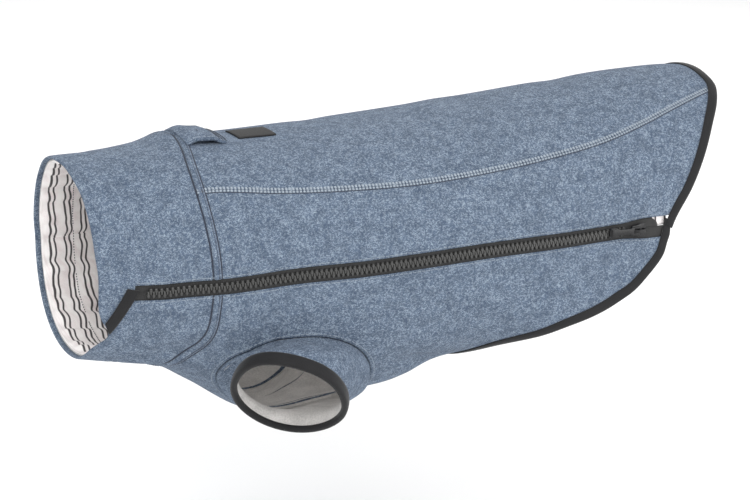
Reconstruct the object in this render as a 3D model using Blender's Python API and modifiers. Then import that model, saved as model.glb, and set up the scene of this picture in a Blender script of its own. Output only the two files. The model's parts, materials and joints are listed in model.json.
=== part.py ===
"""Dog sweater of knitted fleece with a zip down its left side, filled out as when it is worn.

Metres, +Z up. +X runs towards the tail and -Y is the wearer's left. The origin is on the inner
face of the back panel, on the spine, halfway along the sweater.

Places on the cloth are given by a station, x along the body, and an angle round the body in
degrees: 0 on the spine, 90 on the wearer's left side, 180 under the belly, 270 on the right.
"""

import bmesh
import bpy
import numpy as np
from mathutils import Matrix

MM = 0.001

# Cloth and seams
WALL = 2.0 * MM
LINING_WALL = 1.2 * MM
TRIM_WALL = 0.8 * MM
SEAM_GAP = 0.36 * MM
LAID_GAP = 0.3 * MM
LINING_GAP = 0.5 * MM
TURNED_EDGE = 3.0 * MM

# Folded bindings: how far the outer and the inner leaf reach in from the free edge
HEM_BINDING = {"outer": 7.2 * MM, "inner": 5.0 * MM}
CUFF_BINDING = {"outer": 8.0 * MM, "inner": 3.6 * MM}
BINDING_LEAF = 0.8 * MM
BINDING_GAP = 0.6 * MM
BINDING_INNER_GAP = 0.9 * MM
BINDING_SLIT = 0.4 * MM

# Sections of the worn body, in mm and degrees. "widest" is the height of the widest place, and
# "hang" says how straight the cloth hangs below it, where 0.1 is a round belly.
SECTION_COLUMNS = (
    "station", "top", "bottom", "widest", "half_width", "hang", "back_seam", "zip_line",
)
SECTIONS = (
    (-240, -5.0, -126.5, -67.5, 53.0, 0.10, 45.0, 98.0),
    (-205, -4.5, -133.5, -68.5, 62.0, 0.10, 45.0, 97.0),
    (-188, -3.2, -137.5, -69.5, 68.0, 0.10, 45.0, 95.0),
    (-168, -1.5, -149.5, -71.5, 73.5, 0.10, 45.0, 92.5),
    (-130, -2.5, -173.5, -75.5, 79.0, 0.10, 48.5, 88.0),
    (-80, -1.5, -172.5, -78.5, 83.0, 0.10, 50.0, 86.0),
    (-40, 0.0, -164.5, -79.5, 85.0, 0.10, 50.0, 84.5),
    (0, 2.0, -153.5, -79.5, 86.0, 0.16, 48.5, 83.5),
    (50, 5.0, -154.5, -78.5, 85.0, 0.60, 47.0, 84.5),
    (100, 8.5, -152.5, -74.5, 81.0, 0.70, 44.5, 87.5),
    (150, 11.5, -136.5, -68.5, 74.0, 0.60, 36.5, 93.0),
    (190, 11.0, -130.5, -62.5, 65.0, 0.40, 28.5, 95.0),
    (220, 5.5, -120.5, -58.5, 57.0, 0.30, 20.0, 96.0),
)
CROWN_FULLNESS = 0.10

# Edges that run round the body, at each angle from the spine, the same on both sides
EDGE_COLUMNS = ("angle", "rim", "collar_seam", "hem")
EDGES = (
    (0, -245.0, -169.5, 196.0),
    (15, -244.0, -173.0, 195.5),
    (27, -243.5, -176.0, 194.5),
    (38, -242.5, -177.5, 188.0),
    (50, -242.0, -178.0, 177.5),
    (64, -241.5, -177.5, 165.0),
    (77, -241.0, -176.5, 151.5),
    (88, -240.0, -176.0, 138.0),
    (98, -240.0, -176.0, 131.0),
    (105, -240.0, -176.5, 126.5),
    (112, -240.0, -177.0, 114.5),
    (118, -240.0, -178.0, 101.0),
    (124, -240.0, -180.0, 76.5),
    (129, -240.0, -182.0, 53.0),
    (134, -240.0, -184.5, 37.5),
    (140, -240.0, -187.5, 22.5),
    (150, -240.0, -191.5, 10.5),
    (165, -240.0, -195.5, 5.0),
    (180, -240.0, -197.0, 4.0),
)
# The rim is drawn back where the zip's end strip is sewn to it
RIM_DIP = {"angle": 126.0, "half_width": 11.0, "depth": 8.0 * MM}

# Largest folds, in mm and degrees: a soft trough (minus) or ridge (plus) that runs along "turn",
# measured on the cloth from the tail direction towards the belly
FOLD_COLUMNS = ("station", "angle", "turn", "half_length", "half_width", "depth")
FOLDS = (
    (-37, 138, 34, 20, 8.0, -3.4),
    (-52, 150, 30, 26, 9.0, 1.8),
    (-216, 126, 78, 16, 7.5, -2.4),
    (-190, 136, -38, 22, 8.0, -2.4),
    (-203, 152, -20, 24, 8.0, 1.6),
    (-50, 220, -28, 26, 8.5, -3.0),
    (-206, 236, 60, 18, 8.0, -2.4),
    (-192, 214, 25, 24, 8.0, -2.0),
    (96, 300, 66, 30, 12.0, -1.8),
    (-20, 196, 10, 30, 11.0, -2.0),
)

# Zip: half of the opening between the cloth edges, closed and at the hem
ZIP_HALF_CLOSED = 4.8 * MM
ZIP_HALF_OPEN = 6.6 * MM
ZIP_SPLIT_FROM, ZIP_SPLIT_TO = 92 * MM, 116 * MM
ZIP_TAPE_START = -221 * MM
UPPER_TAPE_END = 121 * MM
TAPE_WALL = 1.0 * MM
TAPE_DEPTH = 0.8 * MM
CHAIN_START, CHAIN_END = -213 * MM, 99 * MM
CHAIN_HALF = 2.9 * MM
CHAIN_WALL = 1.8 * MM
CHAIN_PROUD = 1.3 * MM
SLIDER_STATION = 106 * MM
LOWER_TAPE_END_ANGLE = 96.0
TAPE_SIDE_GAP, TAPE_MIDDLE_GAP = 0.35 * MM, 0.2 * MM

# Slot for the zip through the collar and its lining
SLOT = {"start": -222 * MM, "length": 56 * MM, "over_cloth": 8 * MM, "depth": 16 * MM}

# Blocks of the slider in mm: length, width and height, then the middle along the zip and the
# height of the underside over the cloth
SLIDER_COLUMNS = ("length", "width", "height", "along", "under")
SLIDER_BLOCKS = (
    (11.0, 8.2, 1.2, 0.0, 1.6),
    (2.6, 1.6, 5.0, 3.9, -2.9),
    (11.0, 6.6, 1.0, 0.0, -3.2),
    (1.2, 2.0, 3.2, 3.2, 2.6),
    (1.2, 2.0, 3.2, -3.2, 2.6),
    (7.6, 2.0, 0.9, 0.0, 5.0),
)

# Pull tab: half widths in mm at distances from its hinge, then the window behind the hinge bar
PULL_TAB_COLUMNS = ("from_hinge", "half_width")
PULL_TAB = (
    (-0.6, 2.5), (5.6, 2.5), (7.5, 1.8), (15.5, 1.8), (17.5, 3.1), (21.0, 3.1), (22.5, 1.6),
)
PULL_TAB_WINDOW = ((0.6, 1.3), (4.6, 1.3))
PULL_TAB_WALL = 1.2 * MM
HINGE_LIFT = 4.1 * MM
PULL_TAB_REST_TILT = 5.0

# Facing of lining cloth behind the open end of the zip
FACING = {"start": 112 * MM, "end": 125.6 * MM, "near": 3.5 * MM, "far": 9.0 * MM}

# Strip from the end of the zip to the rim, as stations and angles of its four corners
STRIP_TOP = ((-223.8 * MM, 94.6), (-217.0 * MM, 95.9))
STRIP_FOOT = ((-235.4 * MM, 115.9), (-232.0 * MM, 123.6))

# Loop tab behind the collar, and the bare patch behind it
TAB = {
    "start": -165.5 * MM, "end": -143.5 * MM, "width": 33 * MM, "wall": 2.0 * MM,
    "arch": 2.6 * MM, "arched_part": 0.76,
}
PATCH = {"start": -132.5 * MM, "end": -108 * MM, "width": 20 * MM}
TRIM_ANGLE = 1.5

# Left armhole, and the cuff of its sleeve; the right ones are their mirror images
ARMHOLE = {"station": -117 * MM, "angle": 141.0, "reach": 47.5 * MM, "rise": 28.3, "drop": 25.0}
ARMHOLE_CUTTER_LIFTS = np.array((-14, -6, 6, 25)) * MM
CUFF_CENTRE = np.array((-134.5, -82.5, -145.5)) * MM
CUFF_AXIS = np.array((-0.512, -0.625, -0.590))
CUFF_RADIUS = 34.3 * MM
SLEEVE_PLAY = 0.65 * MM
# The sleeve sweeps over this part of its rows and is straight after it, and it leaves the
# armhole with this part of its full bulge
SLEEVE_SWEEP, SLEEVE_BULGE = 0.75, 0.7

# Mesh density
BODY_ROWS, COLLAR_ROWS, SLEEVE_ROWS, ZIP_ROWS = 15, 5, 4, 24
RING_COLUMNS, SLEEVE_COLUMNS = 32, 27
BACK_COLUMNS, SIDE_COLUMNS, CHEST_COLUMNS = 14, 8, 28
CROWD_TO_HEM = 1.4

BLUE_KNIT = ("blue_knit", (0.19, 0.245, 0.335), 0.95, 0.0)
STRIPED_LINING = ("striped_lining", (0.76, 0.71, 0.66), 0.9, 0.0)
BLACK_BINDING = ("black_binding", (0.028, 0.028, 0.03), 0.85, 0.0)
BLACK_TAPE = ("black_tape", (0.03, 0.03, 0.03), 0.8, 0.0)
BLACK_MOULDING = ("black_moulding", (0.035, 0.035, 0.035), 0.45, 0.0)
BLACK_ENAMEL = ("black_enamel", (0.02, 0.02, 0.02), 0.35, 0.6)
BARE_PATCH = ("bare_patch", (0.05, 0.05, 0.05), 0.9, 0.0)


# ---- Shape of the worn sweater ----


def smooth_through(knots, values, at):
    """Cubic curve through (knots, values), read at the given places."""
    slopes = np.gradient(values, knots)
    left = np.clip(np.searchsorted(knots, at) - 1, 0, len(knots) - 2)
    span = knots[left + 1] - knots[left]
    t = (at - knots[left]) / span
    return (
        (2 * t**3 - 3 * t**2 + 1) * values[left]
        + (t**3 - 2 * t**2 + t) * span * slopes[left]
        + (3 * t**2 - 2 * t**3) * values[left + 1]
        + (t**3 - t**2) * span * slopes[left + 1]
    )


def section(column, x):
    """A column of SECTIONS at station x. Lengths are in metres."""
    rows = np.array(SECTIONS, float)
    value = smooth_through(rows[:, 0], rows[:, SECTION_COLUMNS.index(column)], np.asarray(x) / MM)
    return value * MM if column in ("top", "bottom", "widest", "half_width") else value


def edge(column, angle):
    """Station of a rim, seam or hem at this angle, in metres."""
    rows = np.array(EDGES, float)
    from_spine = np.abs((np.asarray(angle, float) + 180) % 360 - 180)
    station = smooth_through(rows[:, 0], rows[:, EDGE_COLUMNS.index(column)], from_spine) * MM
    if column == "rim":
        off = (np.asarray(angle, float) - RIM_DIP["angle"]) / RIM_DIP["half_width"]
        station = station + RIM_DIP["depth"] * np.exp(-(off**2))
    return station


def round_form(x, angle):
    """Points of the body's outer face before the folds."""
    turn = np.radians(angle)
    top, bottom, widest = (section(column, x) for column in ("top", "bottom", "widest"))
    fullness = np.where(np.cos(turn) > 0, CROWN_FULLNESS, section("hang", x))
    half_height = (top - bottom) / 2
    lean = (top + bottom) / 2 - widest
    y = -section("half_width", x) * np.sin(turn) * (1 + fullness * np.cos(turn) ** 2)
    z = widest + half_height * np.cos(turn) + lean * np.cos(turn) ** 2
    return np.stack([x + 0 * turn, y, z], -1)


def fold_height(x, angle):
    """How far the folds lift the cloth off the round form."""
    height = 0 * (x + angle)
    radius = section("half_width", x)
    for row in FOLDS:
        fold = dict(zip(FOLD_COLUMNS, row))
        away = (angle - fold["angle"] + 180) % 360 - 180
        ahead = x / MM - fold["station"]
        aside = np.radians(away) * radius / MM
        turn = np.radians(fold["turn"])
        along = (ahead * np.cos(turn) + aside * np.sin(turn)) / fold["half_length"]
        across = (aside * np.cos(turn) - ahead * np.sin(turn)) / fold["half_width"]
        height = height + fold["depth"] * MM * np.exp(-(along**2) - across**2)
    return height


def normal_of(surface, x, angle):
    step, turn = 0.1 * MM, 0.05
    tailwards = surface(x + step, angle) - surface(x - step, angle)
    roundwards = surface(x, angle + turn) - surface(x, angle - turn)
    out = np.cross(roundwards, tailwards)
    return out / np.linalg.norm(out, axis=-1, keepdims=True)


def folded_form(x, angle):
    lift = fold_height(x, angle)[..., None]
    return round_form(x, angle) + normal_of(round_form, x, angle) * lift


def skin(x, angle, lift=0.0):
    """Points of the body's outer face, moved outwards by lift."""
    x, angle = np.broadcast_arrays(np.asarray(x, float), np.asarray(angle, float))
    lift = np.broadcast_to(lift, x.shape)[..., None]
    return folded_form(x, angle) + normal_of(folded_form, x, angle) * lift


def degrees_for(distance, x, angle):
    """Angle that covers this distance round the body."""
    per_degree = np.linalg.norm(round_form(x, angle + 0.5) - round_form(x, angle - 0.5), axis=-1)
    return distance / per_degree


def zip_angle(x, across=0.0):
    """Angle of the zip's middle line, or of a line this far towards the belly from it."""
    middle = section("zip_line", x)
    return middle + degrees_for(across, x, middle)


def zip_spread(x):
    """Half of the opening between the cloth edges beside the zip."""
    t = np.clip((np.asarray(x) - ZIP_SPLIT_FROM) / (ZIP_SPLIT_TO - ZIP_SPLIT_FROM), 0, 1)
    return ZIP_HALF_CLOSED + (ZIP_HALF_OPEN - ZIP_HALF_CLOSED) * t * t * (3 - 2 * t)


def seam_line(column, side, shift):
    """Function of x that gives the angle of a lengthways seam on side +1 (left) or -1 (right)."""

    def line(x):
        angle = section(column, x)
        return side * (angle + degrees_for(shift, x, angle))

    return line


# ---- Building pieces ----


def material(finish):
    name, colour, roughness, metallic = finish
    made = bpy.data.materials.get(name)
    if made is None:
        made = bpy.data.materials.new(name)
        made.use_nodes = True
        shader = made.node_tree.nodes["Principled BSDF"]
        shader.inputs["Base Color"].default_value = (*colour, 1.0)
        shader.inputs["Roughness"].default_value = roughness
        shader.inputs["Metallic"].default_value = metallic
    return made


def add_object(name, mesh, finish=None):
    """Puts a mesh in the sweater's collection, or in the cutters' if it has no finish."""
    obj = bpy.data.objects.new(name, mesh)
    if finish is None:
        bpy.data.collections["cutters"].objects.link(obj)
        obj.hide_render = True
        obj.display_type = "WIRE"
        return obj
    bpy.data.collections["dog_sweater"].objects.link(obj)
    mesh.materials.append(material(finish))
    obj.parent = bpy.data.objects["sweater"]
    return obj


def solidify(obj, thickness):
    shell = obj.modifiers.new("wall", "SOLIDIFY")
    shell.thickness = thickness
    shell.offset = -1


def boolean(obj, operation, other):
    cut = obj.modifiers.new(other.name, "BOOLEAN")
    cut.operation = operation
    cut.object = other


def sheet(name, place, rows, columns, thickness, finish=None, ring=False):
    """Grid laid out by place(u, v), both from 0 to 1, and thickened inwards from its outer face.

    u runs tailwards or outwards, v runs round from the spine to the belly, and a ring closes in v.
    """
    grid = bmesh.new()
    bmesh.ops.create_grid(grid, x_segments=rows, y_segments=columns, size=0.5)
    where = np.array([vert.co.xy for vert in grid.verts]) + 0.5
    for vert, point in zip(grid.verts, place(where[:, 0], where[:, 1])):
        vert.co = point
    if ring:
        bmesh.ops.remove_doubles(grid, verts=grid.verts, dist=0.01 * MM)
    bmesh.ops.reverse_faces(grid, faces=grid.faces)
    mesh = bpy.data.meshes.new(name)
    grid.to_mesh(mesh)
    grid.free()
    mesh.shade_smooth()
    obj = add_object(name, mesh, finish)
    solidify(obj, thickness)
    return obj


def swept(name, stations, finish, ring=False):
    """Solid through stations, an array of (station, profile point, xyz), with closed profiles."""
    count, points = stations.shape[:2]
    loft = bmesh.new()
    verts = [[loft.verts.new(point) for point in station] for station in stations]
    for i in range(count if ring else count - 1):
        here, after = verts[i], verts[(i + 1) % count]
        for j in range(points):
            k = (j + 1) % points
            loft.faces.new((here[j], here[k], after[k], after[j]))
    if not ring:
        loft.faces.new(verts[0])
        loft.faces.new(verts[-1])
    bmesh.ops.triangulate(loft, faces=loft.faces)
    bmesh.ops.recalc_face_normals(loft, faces=loft.faces)
    mesh = bpy.data.meshes.new(name)
    loft.to_mesh(mesh)
    loft.free()
    return add_object(name, mesh, finish)


def between(first_line, last_line, fraction, start, end, u):
    """Stations and angles at u along each lengthways line, a fraction of the way between two."""
    x = np.full(np.shape(u), -50 * MM)
    for _ in range(40):
        angle = first_line(x) + (last_line(x) - first_line(x)) * fraction
        x = start(angle) + (end(angle) - start(angle)) * u
    return x, angle


def hem_fractions(first_line, last_line, columns):
    """Fractions between two lines that cut the hem between them into even lengths."""
    fine = np.linspace(0, 1, 400)
    x, angle = between(first_line, last_line, fine, body_start, body_end, np.ones(400))
    steps = np.linalg.norm(np.diff(skin(x, angle), axis=0), axis=1)
    length = np.concatenate([[0], np.cumsum(steps)])
    return np.interp(np.linspace(0, length[-1], columns + 1), length, fine)


def body_start(angle):
    return edge("collar_seam", angle) + SEAM_GAP / 2


def body_end(angle):
    return edge("hem", angle)


# ---- Body panels, sleeves and collar ----

BACK = (
    seam_line("back_seam", -1, -SEAM_GAP / 2),
    seam_line("back_seam", 1, -SEAM_GAP / 2),
    BACK_COLUMNS,
)
SIDE_LEFT = (
    seam_line("back_seam", 1, SEAM_GAP / 2),
    lambda x: zip_angle(x, -zip_spread(x)),
    SIDE_COLUMNS,
)
CHEST = (
    lambda x: zip_angle(x, zip_spread(x)),
    lambda x: 360 + seam_line("zip_line", -1, SEAM_GAP / 2)(x),
    CHEST_COLUMNS,
)
SIDE_RIGHT = (
    seam_line("zip_line", -1, -SEAM_GAP / 2),
    seam_line("back_seam", -1, SEAM_GAP / 2),
    SIDE_COLUMNS,
)


def body_panel(name, outline):
    first_line, last_line, columns = outline
    fractions = hem_fractions(first_line, last_line, columns)

    def place(u, v):
        fraction = np.interp(v, np.linspace(0, 1, columns + 1), fractions)
        towards_hem = 1 - (1 - u) ** CROWD_TO_HEM
        x, angle = between(first_line, last_line, fraction, body_start, body_end, towards_hem)
        return skin(x, angle)

    return sheet(name, place, BODY_ROWS, columns, WALL, BLUE_KNIT)


def armhole_place(phase, inset=0.0):
    """Station and angle of the armhole seam. Phase 0 is its rear, 90 its top, 180 its front."""
    turn = np.radians(phase)
    height = np.where(np.sin(turn) > 0, ARMHOLE["rise"], ARMHOLE["drop"])
    x = ARMHOLE["station"] + (ARMHOLE["reach"] - inset) * np.cos(turn)
    angle = ARMHOLE["angle"] - height * np.sin(turn)
    return x, angle + degrees_for(inset, x, angle) * np.sin(turn)


def armhole_cutter(name, side):
    """Plug through the wall with the armhole's outline, domed at both ends."""
    last = len(ARMHOLE_CUTTER_LIFTS) - 1
    plug = bmesh.new()
    bmesh.ops.create_grid(plug, x_segments=last, y_segments=SLEEVE_COLUMNS, size=0.5)
    where = np.array([vert.co.xy for vert in plug.verts]) + 0.5
    row = np.round(where[:, 0] * last).astype(int)
    at_tip = (row == 0) | (row == last)
    x, angle = armhole_place(360 * where[:, 1])
    x = np.where(at_tip, ARMHOLE["station"], x)
    angle = np.where(at_tip, ARMHOLE["angle"], angle)
    lift = ARMHOLE_CUTTER_LIFTS[row][:, None]
    points = (skin(x, angle) + normal_of(round_form, x, angle) * lift) * (1, side, 1)
    for vert, point in zip(plug.verts, points):
        vert.co = point
    bmesh.ops.remove_doubles(plug, verts=plug.verts, dist=0.01 * MM)
    bmesh.ops.recalc_face_normals(plug, faces=plug.faces)
    mesh = bpy.data.meshes.new(name)
    plug.to_mesh(mesh)
    plug.free()
    return add_object(name, mesh)


def cuff_frame():
    """Axis of the cuff, out of the sleeve, and its directions to the rear and to the top."""
    axis = CUFF_AXIS / np.linalg.norm(CUFF_AXIS)
    rear = np.array((1.0, 0.0, 0.0)) - axis * axis[0]
    rear /= np.linalg.norm(rear)
    return axis, rear, np.cross(axis, rear)


def cuff_ring(phase, radius, back):
    """Points of a circle round the cuff's axis, this far back from its edge."""
    axis, rear, top = cuff_frame()
    turn = np.radians(phase)[..., None]
    radius = np.asarray(radius)[..., None]
    back = np.asarray(back)[..., None]
    return CUFF_CENTRE - axis * back + radius * (rear * np.cos(turn) + top * np.sin(turn))


def sleeve_place(u, v):
    """The sleeve sweeps from the armhole to a short straight tube under the cuff's binding."""
    phase = 360 * v
    x, angle = armhole_place(phase, SLEEVE_PLAY)
    start = skin(x, angle)
    end = cuff_ring(phase, CUFF_RADIUS, CUFF_BINDING["outer"])
    reach = np.linalg.norm(end - start, axis=1)[:, None]
    leave = normal_of(round_form, x, angle) * SLEEVE_BULGE * reach
    arrive = cuff_frame()[0] * reach
    t = np.clip(u / SLEEVE_SWEEP, 0, 1)[:, None]
    swept_part = (
        (2 * t**3 - 3 * t**2 + 1) * start
        + (t**3 - 2 * t**2 + t) * leave
        + (3 * t**2 - 2 * t**3) * end
        + (t**3 - t**2) * arrive
    )
    run = np.clip((u - SLEEVE_SWEEP) / (1 - SLEEVE_SWEEP), 0, 1)[:, None]
    straight = CUFF_BINDING["outer"] - BINDING_LEAF - BINDING_GAP
    return swept_part + cuff_frame()[0] * straight * run


def binding_profile(size):
    """Folded binding, as (distance in from the free edge, height over the cloth's outer face)."""
    leaf, gap, outer, inner = BINDING_LEAF, BINDING_GAP, size["outer"], size["inner"]
    out, under = gap, -WALL - BINDING_INNER_GAP
    return np.array((
        (0, out + leaf), (outer / 2, out + leaf), (outer, out + leaf),
        (outer, out), (outer / 2, out), (leaf, out),
        (leaf, under), (inner / 2, under), (inner, under),
        (inner, under - leaf), (inner / 2, under - leaf), (0, under - leaf),
    ))


def make_cuff_binding(name):
    profile = binding_profile(CUFF_BINDING)[[0, 2, 3, 5, 6, 8, 9, 11]]
    phase = np.arange(SLEEVE_COLUMNS) * 360 / SLEEVE_COLUMNS
    stations = np.stack([
        cuff_ring(phase, np.full(phase.shape, CUFF_RADIUS + height), np.full(phase.shape, back))
        for back, height in profile
    ], axis=1)
    return swept(name, stations, BLACK_BINDING, ring=True)


def mirrored(obj, name):
    """Copy of a left-hand piece for the wearer's right."""
    twin = bpy.data.objects.new(name, obj.data)
    bpy.data.collections["dog_sweater"].objects.link(twin)
    twin.parent = obj.parent
    for modifier in obj.modifiers:
        solidify(twin, modifier.thickness)
    twin.scale = (1, -1, 1)
    return twin


def make_body():
    body_panel("back_panel", BACK)
    body_panel("side_panel_left", SIDE_LEFT)
    body_panel("side_panel_right", SIDE_RIGHT)
    chest = body_panel("chest_panel", CHEST)
    boolean(chest, "DIFFERENCE", armhole_cutter("armhole_cutter_left", 1))
    boolean(chest, "DIFFERENCE", armhole_cutter("armhole_cutter_right", -1))


def make_sleeves():
    sleeve = sheet("sleeve_left", sleeve_place, SLEEVE_ROWS, SLEEVE_COLUMNS, WALL, BLUE_KNIT, ring=True)
    mirrored(sleeve, "sleeve_right")
    mirrored(make_cuff_binding("cuff_binding_left"), "cuff_binding_right")


def collar_place(from_rim, lift):
    """Ring round the neck, whose first line is opposite the zip."""

    def place(u, v):
        angle = 360 * v - 90
        rim = edge("rim", angle)
        x = rim + (edge("collar_seam", angle) - SEAM_GAP / 2 - rim) * u
        return skin(np.maximum(x, rim + from_rim), angle, lift)

    return place


def slot_place(u, v):
    x = SLOT["start"] + SLOT["length"] * u
    return skin(x, zip_angle(x, (2 * v - 1) * ZIP_HALF_CLOSED), SLOT["over_cloth"])


def make_collar():
    outer = collar_place(0, 0)
    inner = collar_place(TURNED_EDGE, -WALL - LINING_GAP)
    slot = sheet("zip_slot_cutter", slot_place, 8, 2, SLOT["depth"])
    for name, place, wall, finish in (
        ("collar", outer, WALL, BLUE_KNIT),
        ("collar_lining", inner, LINING_WALL, STRIPED_LINING),
    ):
        piece = sheet(name, place, COLLAR_ROWS, RING_COLUMNS, wall, finish, ring=True)
        boolean(piece, "DIFFERENCE", slot)


# ---- Binding of the hem ----


def hem_lines():
    """Fractions and outlines of the panels in order round the hem, from the zip to the zip."""
    for first_line, last_line, columns in (CHEST, SIDE_RIGHT, BACK, SIDE_LEFT):
        fractions = hem_fractions(first_line, last_line, columns)
        x, angle = between(
            first_line, last_line, fractions, body_start, body_end, np.ones(columns + 1)
        )
        yield angle % 360


def walk(x, angle, way, distance):
    """Station and angle reached by going this far over the cloth, along unit vectors."""
    step, turn = 0.5 * MM, 0.5
    tailwards = (skin(x + step, angle) - skin(x - step, angle)) / (2 * step)
    roundwards = (skin(x, angle + turn) - skin(x, angle - turn)) / (2 * turn)
    moves = np.array([
        np.linalg.lstsq(np.stack([a, b], 1), c, rcond=None)[0]
        for a, b, c in zip(tailwards, roundwards, way)
    ])
    return x + moves[:, 0] * distance, angle + moves[:, 1] * distance


def make_hem_binding():
    """U-shaped binding folded over the panels' edges, open where the zip opens."""
    angles = np.degrees(np.unwrap(np.radians(np.concatenate(list(hem_lines())))))
    first = zip_angle(edge("hem", angles[0]), BINDING_SLIT)
    last = zip_angle(edge("hem", angles[-1]), -BINDING_SLIT) + 360
    between_ends = angles[np.concatenate([[True], np.diff(angles) > 1.0])]
    angles = np.concatenate([[first], between_ends, [last]])
    x = edge("hem", angles)
    turn = 0.2
    along = skin(edge("hem", angles + turn), angles + turn) - skin(
        edge("hem", angles - turn), angles - turn
    )
    inward = np.cross(along, normal_of(folded_form, x, angles))
    inward /= np.linalg.norm(inward, axis=1, keepdims=True)
    stations = np.stack([
        skin(*walk(x, angles, inward, back - BINDING_LEAF - BINDING_GAP), height)
        for back, height in binding_profile(HEM_BINDING)
    ], axis=1)
    swept("hem_binding", stations, BLACK_BINDING)


# ---- Zip ----


def strip_place(start, end, near, far, lift, side=1):
    """Strip along the zip between two distances from its middle line, on side +1 (below) or -1."""

    def place(u, v):
        x = start + (end - start) * u
        outwards = v if side > 0 else 1 - v
        across = side * (near(x) + (far(x) - near(x)) * outwards)
        return skin(x, zip_angle(x, across), lift)

    return place


def make_zip():
    def parting(x):
        return TAPE_MIDDLE_GAP + zip_spread(x) - ZIP_HALF_CLOSED

    def reach(x):
        return zip_spread(x) - TAPE_SIDE_GAP

    lower_end = edge("hem", LOWER_TAPE_END_ANGLE) - LAID_GAP
    for name, end, side in (
        ("zip_tape_upper", UPPER_TAPE_END, -1), ("zip_tape_lower", lower_end, 1),
    ):
        place = strip_place(ZIP_TAPE_START, end, parting, reach, -TAPE_DEPTH, side)
        sheet(name, place, ZIP_ROWS, 1, TAPE_WALL, BLACK_TAPE)
    place = strip_place(
        CHAIN_START, CHAIN_END, lambda x: -CHAIN_HALF, lambda x: CHAIN_HALF, CHAIN_PROUD
    )
    sheet("zip_chain", place, ZIP_ROWS, 1, CHAIN_WALL, BLACK_MOULDING)


def make_facing():
    place = strip_place(
        FACING["start"], FACING["end"], lambda x: FACING["near"], lambda x: FACING["far"],
        -WALL - LAID_GAP, -1,
    )
    sheet("zip_facing", place, 2, 2, TRIM_WALL, STRIPED_LINING)


def make_end_strip():
    def place(u, v):
        (top_near, top_far), (foot_near, foot_far) = np.array((STRIP_TOP, STRIP_FOOT))
        u, v = u[:, None], v[:, None]
        top, foot = top_near + (top_far - top_near) * u, foot_near + (foot_far - foot_near) * u
        x, angle = (top + (foot - top) * v).T
        return skin(x, angle, LINING_GAP + TRIM_WALL)

    sheet("zip_end_strip", place, 2, 8, TRIM_WALL, BLACK_BINDING)


def zip_frame(x, lift):
    """Matrix at a place over the zip: local X tailwards along it, Z out of the cloth."""
    point = skin(x, zip_angle(x), lift)
    tailwards = skin(x + MM, zip_angle(x + MM)) - skin(x - MM, zip_angle(x - MM))
    out = normal_of(folded_form, x, zip_angle(x))
    tailwards -= out * (tailwards @ out)
    tailwards /= np.linalg.norm(tailwards)
    frame = Matrix.Identity(4)
    for column, axis in enumerate((tailwards, np.cross(out, tailwards), out, point)):
        for row in range(3):
            frame[row][column] = axis[row]
    return frame


def block(name, row, finish=None):
    size = dict(zip(SLIDER_COLUMNS, row))
    cube = bmesh.new()
    bmesh.ops.create_cube(cube, size=1.0)
    bmesh.ops.scale(
        cube, vec=(size["length"] * MM, size["width"] * MM, size["height"] * MM), verts=cube.verts
    )
    middle = (size["along"] * MM, 0, (size["under"] + size["height"] / 2) * MM)
    bmesh.ops.translate(cube, vec=middle, verts=cube.verts)
    mesh = bpy.data.meshes.new(name)
    cube.to_mesh(mesh)
    cube.free()
    return add_object(name, mesh, finish)


def make_slider():
    """Top and bottom plates joined by a post at the open end, and the bridge for the pull tab."""
    frame = zip_frame(SLIDER_STATION, 0)
    slider = block("zip_slider", SLIDER_BLOCKS[0], BLACK_ENAMEL)
    slider.matrix_local = frame
    for number, row in enumerate(SLIDER_BLOCKS[1:], 1):
        helper = block(f"slider_block_{number}", row)
        helper.matrix_local = frame
        boolean(slider, "UNION", helper)


def make_pull_tab():
    """Flat tab whose end bar turns in the slider's bridge. Its origin is on the hinge axis."""
    curve = bpy.data.curves.new("zip_pull_tab", "CURVE")
    curve.dimensions = "2D"
    curve.fill_mode = "BOTH"
    curve.extrude = PULL_TAB_WALL / 2
    for outline in (PULL_TAB, PULL_TAB_WINDOW):
        rows = [dict(zip(PULL_TAB_COLUMNS, row)) for row in outline]
        upper = [(-row["from_hinge"] * MM, row["half_width"] * MM) for row in rows]
        corners = upper + [(x, -y) for x, y in reversed(upper)]
        spline = curve.splines.new("POLY")
        spline.points.add(len(corners) - 1)
        for point, corner in zip(spline.points, corners):
            point.co = (*corner, 0, 1)
        spline.use_cyclic_u = True
    tab = bpy.data.objects.new("zip_pull_tab", curve)
    bpy.data.collections["dog_sweater"].objects.link(tab)
    curve.materials.append(material(BLACK_ENAMEL))
    tab.parent = bpy.data.objects["sweater"]
    tilt = Matrix.Rotation(np.radians(-PULL_TAB_REST_TILT), 4, "Y")
    tab.matrix_local = zip_frame(SLIDER_STATION, HINGE_LIFT) @ tilt


# ---- Pieces on the back ----


def make_back_trim():
    def tab_place(u, v):
        x = TAB["start"] + (TAB["end"] - TAB["start"]) * u
        angle = TRIM_ANGLE + degrees_for(TAB["width"], x, 0.0 * x) * (v - 0.5)
        rise = TAB["arch"] * np.sin(np.pi * np.clip(u / TAB["arched_part"], 0, 1)) ** 2
        return skin(x, angle, LAID_GAP + TAB["wall"] + rise)

    def patch_place(u, v):
        x = PATCH["start"] + (PATCH["end"] - PATCH["start"]) * u
        angle = TRIM_ANGLE + degrees_for(PATCH["width"], x, 0.0 * x) * (v - 0.5)
        return skin(x, angle, LAID_GAP + TRIM_WALL)

    sheet("loop_tab", tab_place, 10, 4, TAB["wall"], BLUE_KNIT)
    sheet("back_patch", patch_place, 3, 4, TRIM_WALL, BARE_PATCH)


def clear_scene():
    for obj in list(bpy.data.objects):
        bpy.data.objects.remove(obj, do_unlink=True)
    for name in ("dog_sweater", "cutters"):
        bpy.context.scene.collection.children.link(bpy.data.collections.new(name))
    bpy.data.collections["cutters"].hide_render = True
    sweater = bpy.data.objects.new("sweater", None)
    bpy.data.collections["dog_sweater"].objects.link(sweater)


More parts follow.
